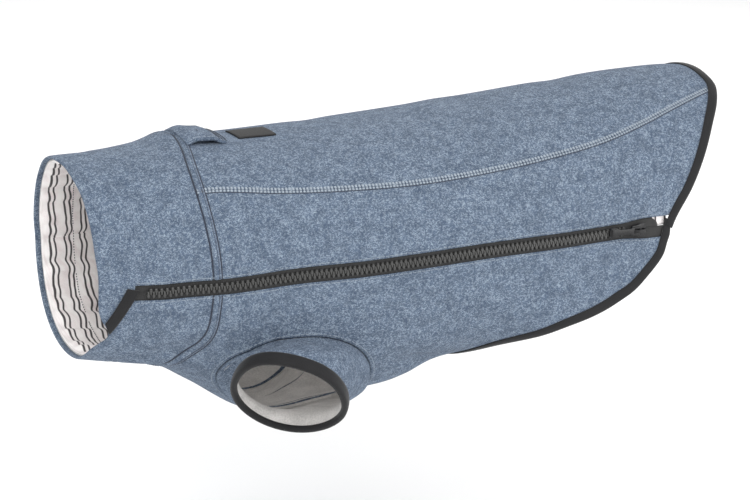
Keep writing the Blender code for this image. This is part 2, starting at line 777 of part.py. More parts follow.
def main():
    clear_scene()
    make_body()
    make_sleeves()
    make_collar()
    make_hem_binding()
    make_zip()
    make_facing()
    make_end_strip()
    make_slider()
    make_pull_tab()
    make_back_trim()


main()
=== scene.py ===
"""Looks of a dog sweater in heathered fleece knit, with a zip down its left side.

Laid out as a Blender add-on and run as a script. Metres, +Z up, +X towards the tail, and -Y is
the wearer's left. Places on the cloth are given by a station, x along the body, and an angle
round it in degrees: 0 on the spine, 90 on the wearer's left, 180 under the belly, 270 on the
right.
"""

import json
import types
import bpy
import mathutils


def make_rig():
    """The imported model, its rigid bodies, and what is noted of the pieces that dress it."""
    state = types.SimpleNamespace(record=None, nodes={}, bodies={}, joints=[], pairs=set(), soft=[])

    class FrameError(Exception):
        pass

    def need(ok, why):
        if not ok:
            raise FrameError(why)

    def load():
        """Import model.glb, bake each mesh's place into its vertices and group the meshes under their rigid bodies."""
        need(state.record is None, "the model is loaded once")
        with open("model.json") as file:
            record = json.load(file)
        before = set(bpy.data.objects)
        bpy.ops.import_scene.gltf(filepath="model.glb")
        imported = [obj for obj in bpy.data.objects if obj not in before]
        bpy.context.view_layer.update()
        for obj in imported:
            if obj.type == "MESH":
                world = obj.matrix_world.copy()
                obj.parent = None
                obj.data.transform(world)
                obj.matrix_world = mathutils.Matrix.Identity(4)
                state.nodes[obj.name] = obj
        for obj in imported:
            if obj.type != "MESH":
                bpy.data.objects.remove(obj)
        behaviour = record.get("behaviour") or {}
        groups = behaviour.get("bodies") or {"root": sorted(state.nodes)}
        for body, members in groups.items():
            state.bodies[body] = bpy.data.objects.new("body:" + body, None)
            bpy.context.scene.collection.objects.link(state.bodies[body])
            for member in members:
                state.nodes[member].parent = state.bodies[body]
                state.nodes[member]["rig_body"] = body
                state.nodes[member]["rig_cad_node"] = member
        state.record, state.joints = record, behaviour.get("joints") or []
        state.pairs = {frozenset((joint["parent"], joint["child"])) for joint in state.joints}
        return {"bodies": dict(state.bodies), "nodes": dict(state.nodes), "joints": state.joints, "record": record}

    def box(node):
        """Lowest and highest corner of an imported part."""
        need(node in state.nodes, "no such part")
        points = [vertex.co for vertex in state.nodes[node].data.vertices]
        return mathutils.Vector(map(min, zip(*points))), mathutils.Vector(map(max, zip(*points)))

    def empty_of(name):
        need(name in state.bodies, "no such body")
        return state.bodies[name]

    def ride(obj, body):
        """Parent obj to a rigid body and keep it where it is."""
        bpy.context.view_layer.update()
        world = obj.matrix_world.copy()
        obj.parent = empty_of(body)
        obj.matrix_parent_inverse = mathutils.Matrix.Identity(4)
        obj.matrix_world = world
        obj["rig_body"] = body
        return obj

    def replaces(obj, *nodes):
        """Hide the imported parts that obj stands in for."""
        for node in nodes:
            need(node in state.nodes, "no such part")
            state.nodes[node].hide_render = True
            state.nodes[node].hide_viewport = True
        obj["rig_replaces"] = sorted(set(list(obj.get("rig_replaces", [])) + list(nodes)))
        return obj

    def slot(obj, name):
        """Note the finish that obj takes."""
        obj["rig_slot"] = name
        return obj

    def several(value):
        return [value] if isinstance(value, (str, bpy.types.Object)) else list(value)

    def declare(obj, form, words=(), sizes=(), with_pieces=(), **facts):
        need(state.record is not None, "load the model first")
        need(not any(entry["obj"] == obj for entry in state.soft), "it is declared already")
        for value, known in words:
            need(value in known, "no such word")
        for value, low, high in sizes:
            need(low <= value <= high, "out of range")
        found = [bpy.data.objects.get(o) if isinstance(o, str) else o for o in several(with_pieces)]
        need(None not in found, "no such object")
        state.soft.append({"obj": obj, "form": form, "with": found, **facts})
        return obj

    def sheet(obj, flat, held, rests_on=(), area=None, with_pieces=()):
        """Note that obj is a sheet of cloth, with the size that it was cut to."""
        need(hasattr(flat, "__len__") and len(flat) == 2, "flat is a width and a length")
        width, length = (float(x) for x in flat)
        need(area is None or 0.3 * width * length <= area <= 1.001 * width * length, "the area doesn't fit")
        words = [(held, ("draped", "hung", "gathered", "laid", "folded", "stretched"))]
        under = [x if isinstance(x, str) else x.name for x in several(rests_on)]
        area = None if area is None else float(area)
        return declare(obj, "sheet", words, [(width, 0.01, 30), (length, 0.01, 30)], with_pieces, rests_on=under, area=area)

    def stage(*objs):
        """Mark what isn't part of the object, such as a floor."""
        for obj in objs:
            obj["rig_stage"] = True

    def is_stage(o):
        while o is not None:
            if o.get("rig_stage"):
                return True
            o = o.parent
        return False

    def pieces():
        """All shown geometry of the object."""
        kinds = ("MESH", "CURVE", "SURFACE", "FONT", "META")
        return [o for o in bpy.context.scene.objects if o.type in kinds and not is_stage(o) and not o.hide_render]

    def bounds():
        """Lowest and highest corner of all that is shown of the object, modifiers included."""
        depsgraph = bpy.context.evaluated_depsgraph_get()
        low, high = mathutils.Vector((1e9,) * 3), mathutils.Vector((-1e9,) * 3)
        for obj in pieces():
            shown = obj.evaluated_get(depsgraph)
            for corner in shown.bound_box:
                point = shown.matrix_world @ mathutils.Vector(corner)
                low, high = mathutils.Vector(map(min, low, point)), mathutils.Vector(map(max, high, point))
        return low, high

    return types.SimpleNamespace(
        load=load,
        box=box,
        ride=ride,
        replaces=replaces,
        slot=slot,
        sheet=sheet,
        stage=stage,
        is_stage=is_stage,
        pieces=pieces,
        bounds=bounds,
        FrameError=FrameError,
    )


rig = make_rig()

bl_info = {
    "name": "Dog Sweater Looks",
    "version": (1, 0, 0),
    "blender": (4, 5, 0),
    "location": "3D View > Sidebar > Sweater",
    "description": "Dresses the sweater's solids in knit, lining, bindings, stitches and a zip",
    "category": "Object",
}

import json

import bmesh
import bpy
import numpy as np
from bpy.props import FloatProperty, FloatVectorProperty, PointerProperty
from mathutils import Matrix, Vector

MM = 0.001

for startup_object in list(bpy.data.objects):
    bpy.data.objects.remove(startup_object, do_unlink=True)
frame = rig.load()
CAD_LOW, CAD_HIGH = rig.bounds()
HINGE = frame["joints"][0]
SLIDER_LOW, SLIDER_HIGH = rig.box("zip_slider")
SLIDER_STATION = (SLIDER_LOW.x + SLIDER_HIGH.x) / 2

# Sections of the worn body, in mm and degrees. "widest" is the height of the widest place, and
# "hang" says how straight the cloth hangs below it, where 0.1 is a round belly.
SECTION_COLUMNS = (
    "station", "top", "bottom", "widest", "half_width", "hang", "back_seam", "zip_line",
)
SECTIONS = (
    (-240, -5.0, -126.5, -67.5, 53.0, 0.10, 45.0, 98.0),
    (-205, -4.5, -133.5, -68.5, 62.0, 0.10, 45.0, 97.0),
    (-188, -3.2, -137.5, -69.5, 68.0, 0.10, 45.0, 95.0),
    (-168, -1.5, -149.5, -71.5, 73.5, 0.10, 45.0, 92.5),
    (-130, -2.5, -173.5, -75.5, 79.0, 0.10, 48.5, 88.0),
    (-80, -1.5, -172.5, -78.5, 83.0, 0.10, 50.0, 86.0),
    (-40, 0.0, -164.5, -79.5, 85.0, 0.10, 50.0, 84.5),
    (0, 2.0, -153.5, -79.5, 86.0, 0.16, 48.5, 83.5),
    (50, 5.0, -154.5, -78.5, 85.0, 0.60, 47.0, 84.5),
    (100, 8.5, -152.5, -74.5, 81.0, 0.70, 44.5, 87.5),
    (150, 11.5, -136.5, -68.5, 74.0, 0.60, 36.5, 93.0),
    (190, 11.0, -130.5, -62.5, 65.0, 0.40, 28.5, 95.0),
    (220, 5.5, -120.5, -58.5, 57.0, 0.30, 20.0, 96.0),
)
CROWN_FULLNESS = 0.10

# Edges that run round the body, at each angle from the spine, the same on both sides
EDGE_COLUMNS = ("angle", "rim", "collar_seam", "hem")
EDGES = (
    (0, -245.0, -169.5, 196.0),
    (15, -244.0, -173.0, 195.5),
    (27, -243.5, -176.0, 194.5),
    (38, -242.5, -177.5, 188.0),
    (50, -242.0, -178.0, 177.5),
    (64, -241.5, -177.5, 165.0),
    (77, -241.0, -176.5, 151.5),
    (88, -240.0, -176.0, 138.0),
    (98, -240.0, -176.0, 131.0),
    (105, -240.0, -176.5, 126.5),
    (112, -240.0, -177.0, 114.5),
    (118, -240.0, -178.0, 101.0),
    (124, -240.0, -180.0, 76.5),
    (129, -240.0, -182.0, 53.0),
    (134, -240.0, -184.5, 37.5),
    (140, -240.0, -187.5, 22.5),
    (150, -240.0, -191.5, 10.5),
    (165, -240.0, -195.5, 5.0),
    (180, -240.0, -197.0, 4.0),
)
RIM_DIP = {"angle": 126.0, "half_width": 11.0, "depth": 8.0 * MM}

# Folds and creases, in mm and degrees: a soft trough (minus) or ridge (plus) that runs along
# "turn", measured on the cloth from the tail direction towards the belly
FOLD_COLUMNS = ("station", "angle", "turn", "half_length", "half_width", "depth")
FOLDS = (
    # crown of the back, at the collar's seam
    (-172, -6, 90, 27, 10, 3.0),
    # the largest, which the solids have too
    (-37, 138, 34, 20, 8.0, -3.4),
    (-52, 150, 30, 26, 9.0, 1.8),
    (-216, 126, 78, 16, 7.5, -2.4),
    (-190, 136, -38, 22, 8.0, -2.4),
    (-203, 152, -20, 24, 8.0, 1.6),
    (-50, 220, -28, 26, 8.5, -3.0),
    (-206, 236, 60, 18, 8.0, -2.4),
    (-192, 214, 25, 24, 8.0, -2.0),
    (96, 300, 66, 30, 12.0, -1.8),
    (-20, 196, 10, 30, 11.0, -2.0),
    # collar, left and right
    (-214, 64, 82, 26, 7.0, -0.9),
    (-203, 96, 70, 20, 6.0, 0.6),
    (-226, 34, 80, 22, 9.0, -0.6),
    (-196, 20, 88, 24, 7.0, 0.7),
    (-216, 300, 75, 24, 8.0, -1.1),
    (-199, 272, 96, 20, 6.5, 0.8),
    (-224, 330, 100, 18, 8.0, -0.7),
    # round the armholes
    (-140, 112, 52, 22, 6.5, -1.2),
    (-152, 124, 66, 20, 5.5, 1.1),
    (-70, 112, 14, 26, 7.0, 0.9),
    (-30, 124, 24, 24, 6.0, 1.0),
    (-24, 146, 42, 16, 6.0, -1.5),
    (-136, 246, -48, 24, 7.0, -1.3),
    (-60, 244, -16, 24, 7.5, 1.0),
    (-28, 232, -32, 20, 6.0, -1.4),
    # side and back, left
    (-150, 66, 74, 30, 9.0, -0.7),
    (-96, 72, 28, 36, 12.0, -0.8),
    (-30, 64, 12, 44, 13.0, 0.6),
    (34, 70, -10, 40, 12.0, -0.8),
    (88, 62, -34, 30, 10.0, 0.7),
    (122, 56, -58, 28, 9.0, -0.9),
    (60, 106, 20, 34, 11.0, -1.0),
    (18, 118, 34, 28, 9.0, 0.8),
    (86, 108, 62, 20, 8.0, -1.2),
    (-110, 20, 88, 26, 12.0, -0.6),
    (-20, 16, 70, 30, 14.0, -0.7),
    (64, 24, 58, 32, 13.0, -0.8),
    (140, 14, 64, 26, 10.0, 0.7),
    # side and back, right
    (-148, 300, -70, 28, 9.0, -0.8),
    (-84, 288, -20, 38, 12.0, -1.0),
    (-12, 296, -8, 42, 12.0, 0.8),
    (40, 282, 16, 36, 11.0, -1.1),
    (118, 306, 52, 26, 10.0, 0.8),
    (64, 252, -24, 32, 10.0, -1.1),
    (10, 246, -36, 26, 9.0, 0.9),
    (-70, 342, 84, 26, 12.0, -0.7),
    (20, 336, 98, 28, 13.0, 0.6),
    (104, 344, 110, 26, 11.0, -0.8),
    # belly
    (-92, 178, 88, 20, 8.0, -1.0),
    (-60, 190, 12, 26, 8.0, 0.9),
    (-140, 186, 4, 24, 8.0, -1.2),
    (-14, 168, 70, 18, 7.0, -1.1),
    # sharp tucks behind the armholes
    (-46, 139.5, 47, 15, 3.2, -1.6),
    (-43, 144, 47, 15, 4.0, 0.9),
    (-44, 219, -44, 13, 3.4, -1.4),
)

# Zip, as on the solids. ZIP_NEAR is an angle close to it, where searches for its edges start.
ZIP_NEAR = 98.0
ZIP_HALF_CLOSED, ZIP_HALF_OPEN = 4.8 * MM, 6.6 * MM
ZIP_SPLIT_FROM, ZIP_SPLIT_TO = 92 * MM, 116 * MM
ZIP_TAPE_START = -221 * MM
UPPER_TAPE_END, LOWER_TAPE_END_ANGLE = 121 * MM, 96.0
TEETH_START, TEETH_END = -212 * MM, 99 * MM
TAPE_DEPTH = 0.8 * MM
STRIP_TOP = ((-223.8 * MM, 94.6), (-217.0 * MM, 95.9))
STRIP_FOOT = ((-235.4 * MM, 115.9), (-232.0 * MM, 123.6))

# Walls of the collar's turned knit, the armhole rings, the loop tab and the narrow trims
COLLAR_WALL, RING_WALL, TAB_WALL, TRIM_WALL = 0.9 * MM, 1.9 * MM, 2.0 * MM, 0.8 * MM

# Armholes and cuffs, as on the solids
ARMHOLE = {"station": -117 * MM, "angle": 141.0, "reach": 47.5 * MM, "rise": 28.3, "drop": 25.0}
CUFF_CENTRE = np.array((-134.5, -82.5, -145.5)) * MM
CUFF_AXIS = np.array((-0.512, -0.625, -0.590))
CUFF_RADIUS = 34.3 * MM
SLEEVE_SWEEP, SLEEVE_BULGE = 0.75, 0.7

# Creases of a sleeve: phase round it in degrees (0 rear, 90 top), place from armhole 0 to cuff 1,
# half sizes in the same units, and depth in mm
SLEEVE_FOLD_COLUMNS = ("phase", "place", "half_phase", "half_place", "depth")
SLEEVE_FOLDS = (
    (24, 0.30, 16, 0.20, -1.2),
    (52, 0.44, 12, 0.26, 0.9),
    (80, 0.26, 11, 0.18, -1.0),
    (118, 0.42, 14, 0.22, -1.3),
    (146, 0.34, 12, 0.20, 1.1),
    (176, 0.40, 10, 0.24, -0.9),
    (214, 0.36, 18, 0.20, -1.1),
    (262, 0.42, 16, 0.24, 0.8),
    (306, 0.34, 14, 0.20, -1.3),
    (338, 0.48, 12, 0.22, 0.9),
)


# ---- Shape of the worn sweater ----


def smooth_through(knots, values, at):
    """Cubic curve through (knots, values), read at the given places."""
    slopes = np.gradient(values, knots)
    left = np.clip(np.searchsorted(knots, at) - 1, 0, len(knots) - 2)
    span = knots[left + 1] - knots[left]
    t = (at - knots[left]) / span
    return (
        (2 * t**3 - 3 * t**2 + 1) * values[left]
        + (t**3 - 2 * t**2 + t) * span * slopes[left]
        + (3 * t**2 - 2 * t**3) * values[left + 1]
        + (t**3 - t**2) * span * slopes[left + 1]
    )


def ramp_up(value, low, high):
    """0 below low and 1 above high, smooth between them."""
    t = np.clip((value - low) / (high - low), 0, 1)
    return t * t * (3 - 2 * t)


def section(column, x):
    """A column of SECTIONS at station x. Lengths are in metres."""
    rows = np.array(SECTIONS, float)
    value = smooth_through(rows[:, 0], rows[:, SECTION_COLUMNS.index(column)], np.asarray(x) / MM)
    return value * MM if column in ("top", "bottom", "widest", "half_width") else value


def edge(column, angle):
    """Station of a rim, seam or hem at this angle, in metres."""
    rows = np.array(EDGES, float)
    from_spine = np.abs((np.asarray(angle, float) + 180) % 360 - 180)
    station = smooth_through(rows[:, 0], rows[:, EDGE_COLUMNS.index(column)], from_spine) * MM
    if column == "rim":
        off = (np.asarray(angle, float) - RIM_DIP["angle"]) / RIM_DIP["half_width"]
        station = station + RIM_DIP["depth"] * np.exp(-(off**2))
    return station


def round_form(x, angle):
    """Points of the body's outer face before the folds."""
    turn = np.radians(angle)
    top, bottom, widest = (section(column, x) for column in ("top", "bottom", "widest"))
    fullness = np.where(np.cos(turn) > 0, CROWN_FULLNESS, section("hang", x))
    half_height = (top - bottom) / 2
    lean = (top + bottom) / 2 - widest
    y = -section("half_width", x) * np.sin(turn) * (1 + fullness * np.cos(turn) ** 2)
    z = widest + half_height * np.cos(turn) + lean * np.cos(turn) ** 2
    return np.stack([x + 0 * turn, y, z], -1)


def fold_height(x, angle):
    """How far the folds lift the cloth off the round form."""
    height = 0 * (x + angle)
    radius = section("half_width", x)
    for row in FOLDS:
        fold = dict(zip(FOLD_COLUMNS, row))
        away = (angle - fold["angle"] + 180) % 360 - 180
        ahead = x / MM - fold["station"]
        aside = np.radians(away) * radius / MM
        turn = np.radians(fold["turn"])
        along = (ahead * np.cos(turn) + aside * np.sin(turn)) / fold["half_length"]
        across = (aside * np.cos(turn) - ahead * np.sin(turn)) / fold["half_width"]
        height = height + fold["depth"] * MM * np.exp(-(along**2) - across**2)
    return height


def normal_of(surface, x, angle):
    step, turn = 0.1 * MM, 0.05
    tailwards = surface(x + step, angle) - surface(x - step, angle)
    roundwards = surface(x, angle + turn) - surface(x, angle - turn)
    out = np.cross(roundwards, tailwards)
    return out / np.linalg.norm(out, axis=-1, keepdims=True)


def folded_form(x, angle):
    lift = fold_height(x, angle)[..., None]
    return round_form(x, angle) + normal_of(round_form, x, angle) * lift


def skin(x, angle, lift=0.0):
    """Points of the body's outer face, moved outwards by lift."""
    x, angle = np.broadcast_arrays(np.asarray(x, float), np.asarray(angle, float))
    lift = np.broadcast_to(lift, x.shape)[..., None]
    return folded_form(x, angle) + normal_of(folded_form, x, angle) * lift


def degrees_for(distance, x, angle):
    """Angle that covers this distance round the body."""
    per_degree = np.linalg.norm(round_form(x, angle + 0.5) - round_form(x, angle - 0.5), axis=-1)
    return distance / per_degree


def zip_angle(x, across=0.0):
    """Angle of the zip's middle line, or of a line this far towards the belly from it."""
    middle = section("zip_line", x)
    return middle + degrees_for(across, x, middle)


def zip_spread(x):
    """Half of the opening between the cloth edges beside the zip."""
    open_part = ramp_up(np.asarray(x), ZIP_SPLIT_FROM, ZIP_SPLIT_TO)
    return ZIP_HALF_CLOSED + (ZIP_HALF_OPEN - ZIP_HALF_CLOSED) * open_part


def seam_line(column, side):
    """Function of x that gives the angle of a lengthways seam on side +1 (left) or -1 (right)."""
    return lambda x: side * section(column, x)


def between(first_line, last_line, fraction, start, end, u):
    """Stations and angles at u along each lengthways line, a fraction of the way between two."""
    x = np.full(np.shape(u), -50 * MM)
    for _ in range(16):
        angle = first_line(x) + (last_line(x) - first_line(x)) * fraction
        x = start(angle) + (end(angle) - start(angle)) * u
    return x, angle


def walk(x, angle, way, distance):
    """Station and angle reached by going this far over the cloth, along unit vectors."""
    step, turn = 0.5 * MM, 0.5
    tailwards = (skin(x + step, angle) - skin(x - step, angle)) / (2 * step)
    roundwards = (skin(x, angle + turn) - skin(x, angle - turn)) / (2 * turn)
    tt = (tailwards * tailwards).sum(-1)
    tr = (tailwards * roundwards).sum(-1)
    rr = (roundwards * roundwards).sum(-1)
    wt = (way * tailwards).sum(-1)
    wr = (way * roundwards).sum(-1)
    spread = tt * rr - tr * tr
    return (
        x + (wt * rr - wr * tr) / spread * distance,
        angle + (wr * tt - wt * tr) / spread * distance,
    )


# ---- Sizes and colours a user would change ----


def length(name, description, millimetres):
    return FloatProperty(
        name=name, description=description, default=millimetres * MM, min=0.0,
        subtype="DISTANCE", unit="LENGTH", precision=5,
    )


def colour(name, description, red, green, blue):
    return FloatVectorProperty(
        name=name, description=description, default=(red, green, blue), min=0.0, max=1.0,
        subtype="COLOR", size=3,
    )


class SweaterSizes(bpy.types.PropertyGroup):
    """Sizes of the cloth, the sewing and the zip."""

    cloth_wall: length("Cloth", "Thickness of the fleece knit", 2.0)
    lining_wall: length("Lining", "Thickness of the collar's lining", 1.2)
    lining_gap: length("Lining gap", "Play between the collar and its lining", 0.5)
    turned_edge: length("Turned edge", "Knit turned in at the collar's rim", 3.0)
    mesh_step: length("Mesh step", "Spacing of the cloth's mesh", 2.0)
    hem_leaf: length("Hem binding", "Width that shows of the hem's binding", 7.0)
    cuff_leaf: length("Cuff binding", "Width that shows of a cuff's binding", 8.2)
    inner_leaf: length("Inner leaf", "Width of a binding on the inside", 3.4)
    binding_wall: length("Binding wall", "Thickness of the binding tape", 0.8)
    tape_wall: length("Zip tape", "Thickness of the zip's tapes", 1.0)
    tooth_pitch: length("Tooth pitch", "Spacing of the teeth along one side", 3.0)
    stitch: length("Stitch", "Length of a topstitch", 2.3)
    stitch_gap: length("Stitch gap", "Gap between two topstitches", 0.6)
    thread: length("Thread", "Thickness of the sewing thread", 0.42)
    ladder_step: length("Flat seam step", "Spacing of the flat seams' stitches", 2.2)
    stripe_step: length("Stripe step", "Spacing of the lining's pairs of stripes", 10.6)
    stripe_pair: length("Stripe pair", "Gap between the two stripes of a pair", 3.3)
    stripe_width: length("Stripe", "Width of one stripe", 1.3)


class SweaterColours(bpy.types.PropertyGroup):
    """Colours of the cloths, threads and hard parts."""

    knit_dark: colour("Knit, dark", "Darkest yarn of the knit", 0.055, 0.080, 0.125)
    knit_mid: colour("Knit, middle", "Ground colour of the knit", 0.098, 0.136, 0.200)
    knit_light: colour("Knit, light", "Light flecks of the knit", 0.34, 0.41, 0.49)
    fleece: colour("Brushed inside", "Inner face of the knit", 0.60, 0.585, 0.57)
    cream: colour("Lining", "Ground of the collar's lining", 0.90, 0.87, 0.86)
    stripe: colour("Stripe", "Thin stripes of the lining", 0.035, 0.030, 0.034)
    binding: colour("Binding", "Tape that binds the hem and the cuffs", 0.009, 0.009, 0.010)
    tape: colour("Zip tape", "Woven tape of the zip", 0.026, 0.026, 0.026)
    tooth: colour("Teeth", "Moulded teeth of the zip", 0.038, 0.038, 0.037)
    enamel: colour("Slider", "Enamel of the slider and its pull tab", 0.004, 0.004, 0.005)
    light_thread: colour("Light thread", "Thread of the flat seams", 0.30, 0.35, 0.41)
    blue_thread: colour("Blue thread", "Thread of the topstitching", 0.16, 0.20, 0.27)
    # Real navy thread, and also painted shade: cords of this colour lie in the seams' ditches and grooves where there
    # is only shade
    navy_thread: colour("Dark thread", "Thread sunk in the seams", 0.020, 0.028, 0.050)
    patch: colour("Patch", "Bare patch on the back", 0.024, 0.024, 0.024)
    floor: colour("Floor", "Studio floor", 0.99, 0.99, 0.99)


def sizes():
    return bpy.context.scene.sweater_sizes


def colours():
    return bpy.context.scene.sweater_colours


# ---- Finishes ----


class Shades:
    """Short ways to add the nodes of one material. Coordinates are in millimetres on the cloth."""

    def __init__(self, name, roughness):
        self.material = bpy.data.materials.new(name)
        self.material.use_nodes = True
        self.nodes = self.material.node_tree.nodes
        self.links = self.material.node_tree.links
        self.shader = self.nodes["Principled BSDF"]
        self.shader.inputs["Roughness"].default_value = roughness

    def add(self, kind, inputs, output=0, **settings):
        node = self.nodes.new(kind)
        for key, value in settings.items():
            setattr(node, key, value)
        for key, value in inputs.items():
            if isinstance(value, bpy.types.NodeSocket):
                self.links.new(value, node.inputs[key])
            else:
                node.inputs[key].default_value = value
        return node.outputs[output]

    def cloth(self):
        """Position on the flat cloth, in mm."""
        return self.in_millimetres(self.add("ShaderNodeUVMap", {}, uv_map="cloth"))

    def solid(self):
        """Position in the object's own space, in mm."""
        return self.in_millimetres(self.add("ShaderNodeTexCoord", {}, output="Object"))

    def in_millimetres(self, place):
        scale = (1000, 1000, 1000)
        return self.add("ShaderNodeVectorMath", {0: place, 1: scale}, operation="MULTIPLY")

    def turned(self, place, degrees, scale, axis=2):
        turn = [0.0, 0.0, 0.0]
        turn[axis] = np.radians(degrees)
        return self.add("ShaderNodeMapping", {"Vector": place, "Rotation": turn, "Scale": scale})

    def noise(self, place, scale, detail=2.0, roughness=0.5):
        inputs = {"Vector": place, "Scale": scale, "Detail": detail, "Roughness": roughness}
        return self.add("ShaderNodeTexNoise", inputs)

    def maths(self, operation, first, second=0.0, third=0.0):
        return self.add("ShaderNodeMath", {0: first, 1: second, 2: third}, operation=operation)

    def fade(self, value, low, high, to_low=0.0, to_high=1.0):
        inputs = {
            "Value": value, "From Min": low, "From Max": high, "To Min": to_low, "To Max": to_high,
        }
        return self.add("ShaderNodeMapRange", inputs, interpolation_type="SMOOTHSTEP")

    def part(self, place, axis):
        return self.add("ShaderNodeSeparateXYZ", {0: place}, output="XYZ".index(axis))

    def mix(self, share, first, second):
        def rgba(value):
            return value if isinstance(value, bpy.types.NodeSocket) else (*value, 1.0)

        return self.add(
            "ShaderNodeMix", {0: share, 6: rgba(first), 7: rgba(second)}, output=2,
            data_type="RGBA",
        )

    def tinted(self, share, tint, darker, lighter):
        """Shade between a darker and a lighter form of one colour."""
        return self.mix(share, [c * darker for c in tint], [min(1, c * lighter) for c in tint])

    def ribs(self, place, spacing):
        """Waves along the cloth, one every so many mm."""
        return self.maths("SINE", self.maths("MULTIPLY", self.part(place, "X"), 2 * np.pi / spacing))

    def bump(self, height, millimetres, strength=1.0):
        inputs = {"Height": height, "Distance": millimetres * MM, "Strength": strength}
        return self.add("ShaderNodeBump", inputs)

    def finish(self, base, normal=None, roughness=None, **constants):
        self.links.new(base, self.shader.inputs["Base Color"])
        if normal is not None:
            self.links.new(normal, self.shader.inputs["Normal"])
        if roughness is not None:
            self.links.new(roughness, self.shader.inputs["Roughness"])
        for key, value in constants.items():
            self.shader.inputs[key.replace("_", " ")].default_value = value
        return self.material


def heathered_knit():
    """Blue fleece knit with short light hairs that curl both ways over a mottled ground."""
    made = Shades("heathered_knit", 0.95)
    place = made.solid()

    def hairs(degrees, scale, gate):
        slant = made.turned(place, degrees, (0.30, 0.85, 0.85), axis=1)
        line = made.maths("ABSOLUTE", made.maths("SUBTRACT", made.noise(slant, scale, 1.0, 0.5), 0.5))
        shown = made.fade(made.noise(place, gate, 2.0, 0.6), 0.43, 0.57)
        return made.maths("MULTIPLY", made.fade(line, 0.065, 0.015), shown)

    light = made.maths("MAXIMUM", hairs(38, 1.7, 0.75), hairs(-50, 1.9, 0.65))
    grain = made.noise(place, 1.6, 3.0, 0.7)
    patches = made.noise(place, 0.15, 3.0, 0.6)
    value = made.maths("MULTIPLY_ADD", patches, 0.75, made.maths("MULTIPLY", grain, 0.9))
    shown = colours()
    ground = made.mix(made.fade(value, 0.66, 1.0), shown.knit_dark[:], shown.knit_mid[:])
    share = made.maths("MULTIPLY", light, made.fade(patches, 0.25, 0.7, 0.5, 1.0))
    base = made.mix(share, ground, shown.knit_light[:])
    fuzz = made.noise(place, 4.0, 3.0, 0.7)
    height = made.maths("MULTIPLY_ADD", fuzz, 0.4, made.maths("MULTIPLY_ADD", light, 0.6, grain))
    return made.finish(
        base, made.bump(height, 0.4, 0.75), Sheen_Weight=0.10, Sheen_Roughness=0.6,
        Sheen_Tint=(0.75, 0.80, 0.88, 1.0), Specular_IOR_Level=0.15,
    )


def brushed_fleece():
    """Grey brushed face inside the knit."""
    made = Shades("brushed_fleece", 1.0)
    place = made.cloth()
    tufts = made.noise(place, 0.9, 4.0, 0.65)
    drift = made.noise(place, 0.07, 2.0, 0.5)
    shade = made.maths("MULTIPLY_ADD", drift, 0.5, made.maths("MULTIPLY", tufts, 0.6))
    base = made.tinted(made.fade(shade, 0.35, 0.75), colours().fleece, 0.78, 1.25)
    return made.finish(
        base, made.bump(tufts, 0.5, 0.6), Sheen_Weight=0.35, Sheen_Roughness=0.5,
        Specular_IOR_Level=0.1,
    )


def striped_cotton():
    """Cream lining with pairs of thin dark stripes parallel to the collar's rim, and painted pinkish shade in soft
    patches.
    """
    made = Shades("striped_cotton", 0.9)
    size, shown = sizes(), colours()
    place = made.cloth()
    wobble = made.noise(made.turned(place, 0, (0.03, 0.019, 1)), 1.0, 1.0, 0.5)
    along = made.maths(
        "MULTIPLY_ADD", made.maths("SUBTRACT", wobble, 0.5), 4.5, made.part(place, "X")
    )
    step, pair, half = (v / MM for v in (size.stripe_step, size.stripe_pair, size.stripe_width / 2))
    first = 5.4
    inked = None
    for offset in (first, first + pair):
        near = made.maths("PINGPONG", made.maths("SUBTRACT", along, offset), step / 2)
        line = made.fade(near, half + 0.18, half - 0.18)
        inked = line if inked is None else made.maths("MAXIMUM", inked, line)
    weave = made.noise(made.turned(place, 0, (3.5, 2.2, 1)), 1.0, 2.0, 0.5)
    # Painted shade: soft noise patches mix in a darker, pinkish cream (shade, below) that stands for the shade among
    # the lining's puckers
    soft = made.noise(place, 0.12, 2.0, 0.5)
    cream = shown.cream
    shade = [c * tint for c, tint in zip(cream, (0.84, 0.77, 0.78))]
    ground = made.mix(made.fade(soft, 0.3, 0.6), shade, cream[:])
    ground = made.mix(made.fade(weave, 0.3, 0.8), ground, [min(1.0, c * 1.06) for c in cream])
    base = made.mix(made.maths("MULTIPLY", inked, 0.96), ground, shown.stripe[:])
    return made.finish(
        base, made.bump(weave, 0.12, 0.6), Sheen_Weight=0.15, Specular_IOR_Level=0.2
    )


def ribbed_tape(name, tint, rib, roughness):
    """Black tape with fine ribs across it."""
    made = Shades(name, roughness)
    place = made.cloth()
    ribs = made.ribs(place, rib)
    lint = made.noise(place, 1.4, 3.0, 0.6)
    wear = made.noise(place, 0.1, 2.0, 0.5)
    shade = made.maths("MULTIPLY_ADD", ribs, 0.10, made.maths("MULTIPLY_ADD", wear, 0.5, lint))
    base = made.tinted(made.fade(shade, 0.4, 1.1), tint, 0.8, 1.5)
    height = made.maths("MULTIPLY_ADD", ribs, 0.35, lint)
    return made.finish(
        base, made.bump(height, 0.12, 0.5), Sheen_Weight=0.15, Sheen_Roughness=0.4,
        Specular_IOR_Level=0.3,
    )


def ribbed_binding():
    return ribbed_tape("ribbed_binding", colours().binding, 0.8, 0.8)


def zip_tape():
    return ribbed_tape("zip_tape", colours().tape, 1.1, 0.85)


def moulded_teeth():
    made = Shades("moulded_teeth", 0.42)
    place = made.solid()
    cloudy = made.noise(place, 0.5, 2.0, 0.5)
    base = made.tinted(cloudy, colours().tooth, 0.75, 1.3)
    scuff = made.noise(place, 3.0, 3.0, 0.6)
    return made.finish(
        base, made.bump(scuff, 0.05, 0.4), made.fade(scuff, 0.3, 0.7, 0.36, 0.52)
    )


def glossy_enamel():
    made = Shades("glossy_enamel", 0.3)
    place = made.solid()
    scratch = made.noise(made.turned(place, 20, (0.6, 5.0, 3.0)), 1.0, 3.0, 0.7)
    base = made.tinted(made.fade(scratch, 0.55, 0.8), colours().enamel, 1.0, 3.0)
    return made.finish(
        base, made.bump(scratch, 0.03, 0.3), made.fade(scratch, 0.3, 0.75, 0.24, 0.44),
        Specular_IOR_Level=0.4,
    )


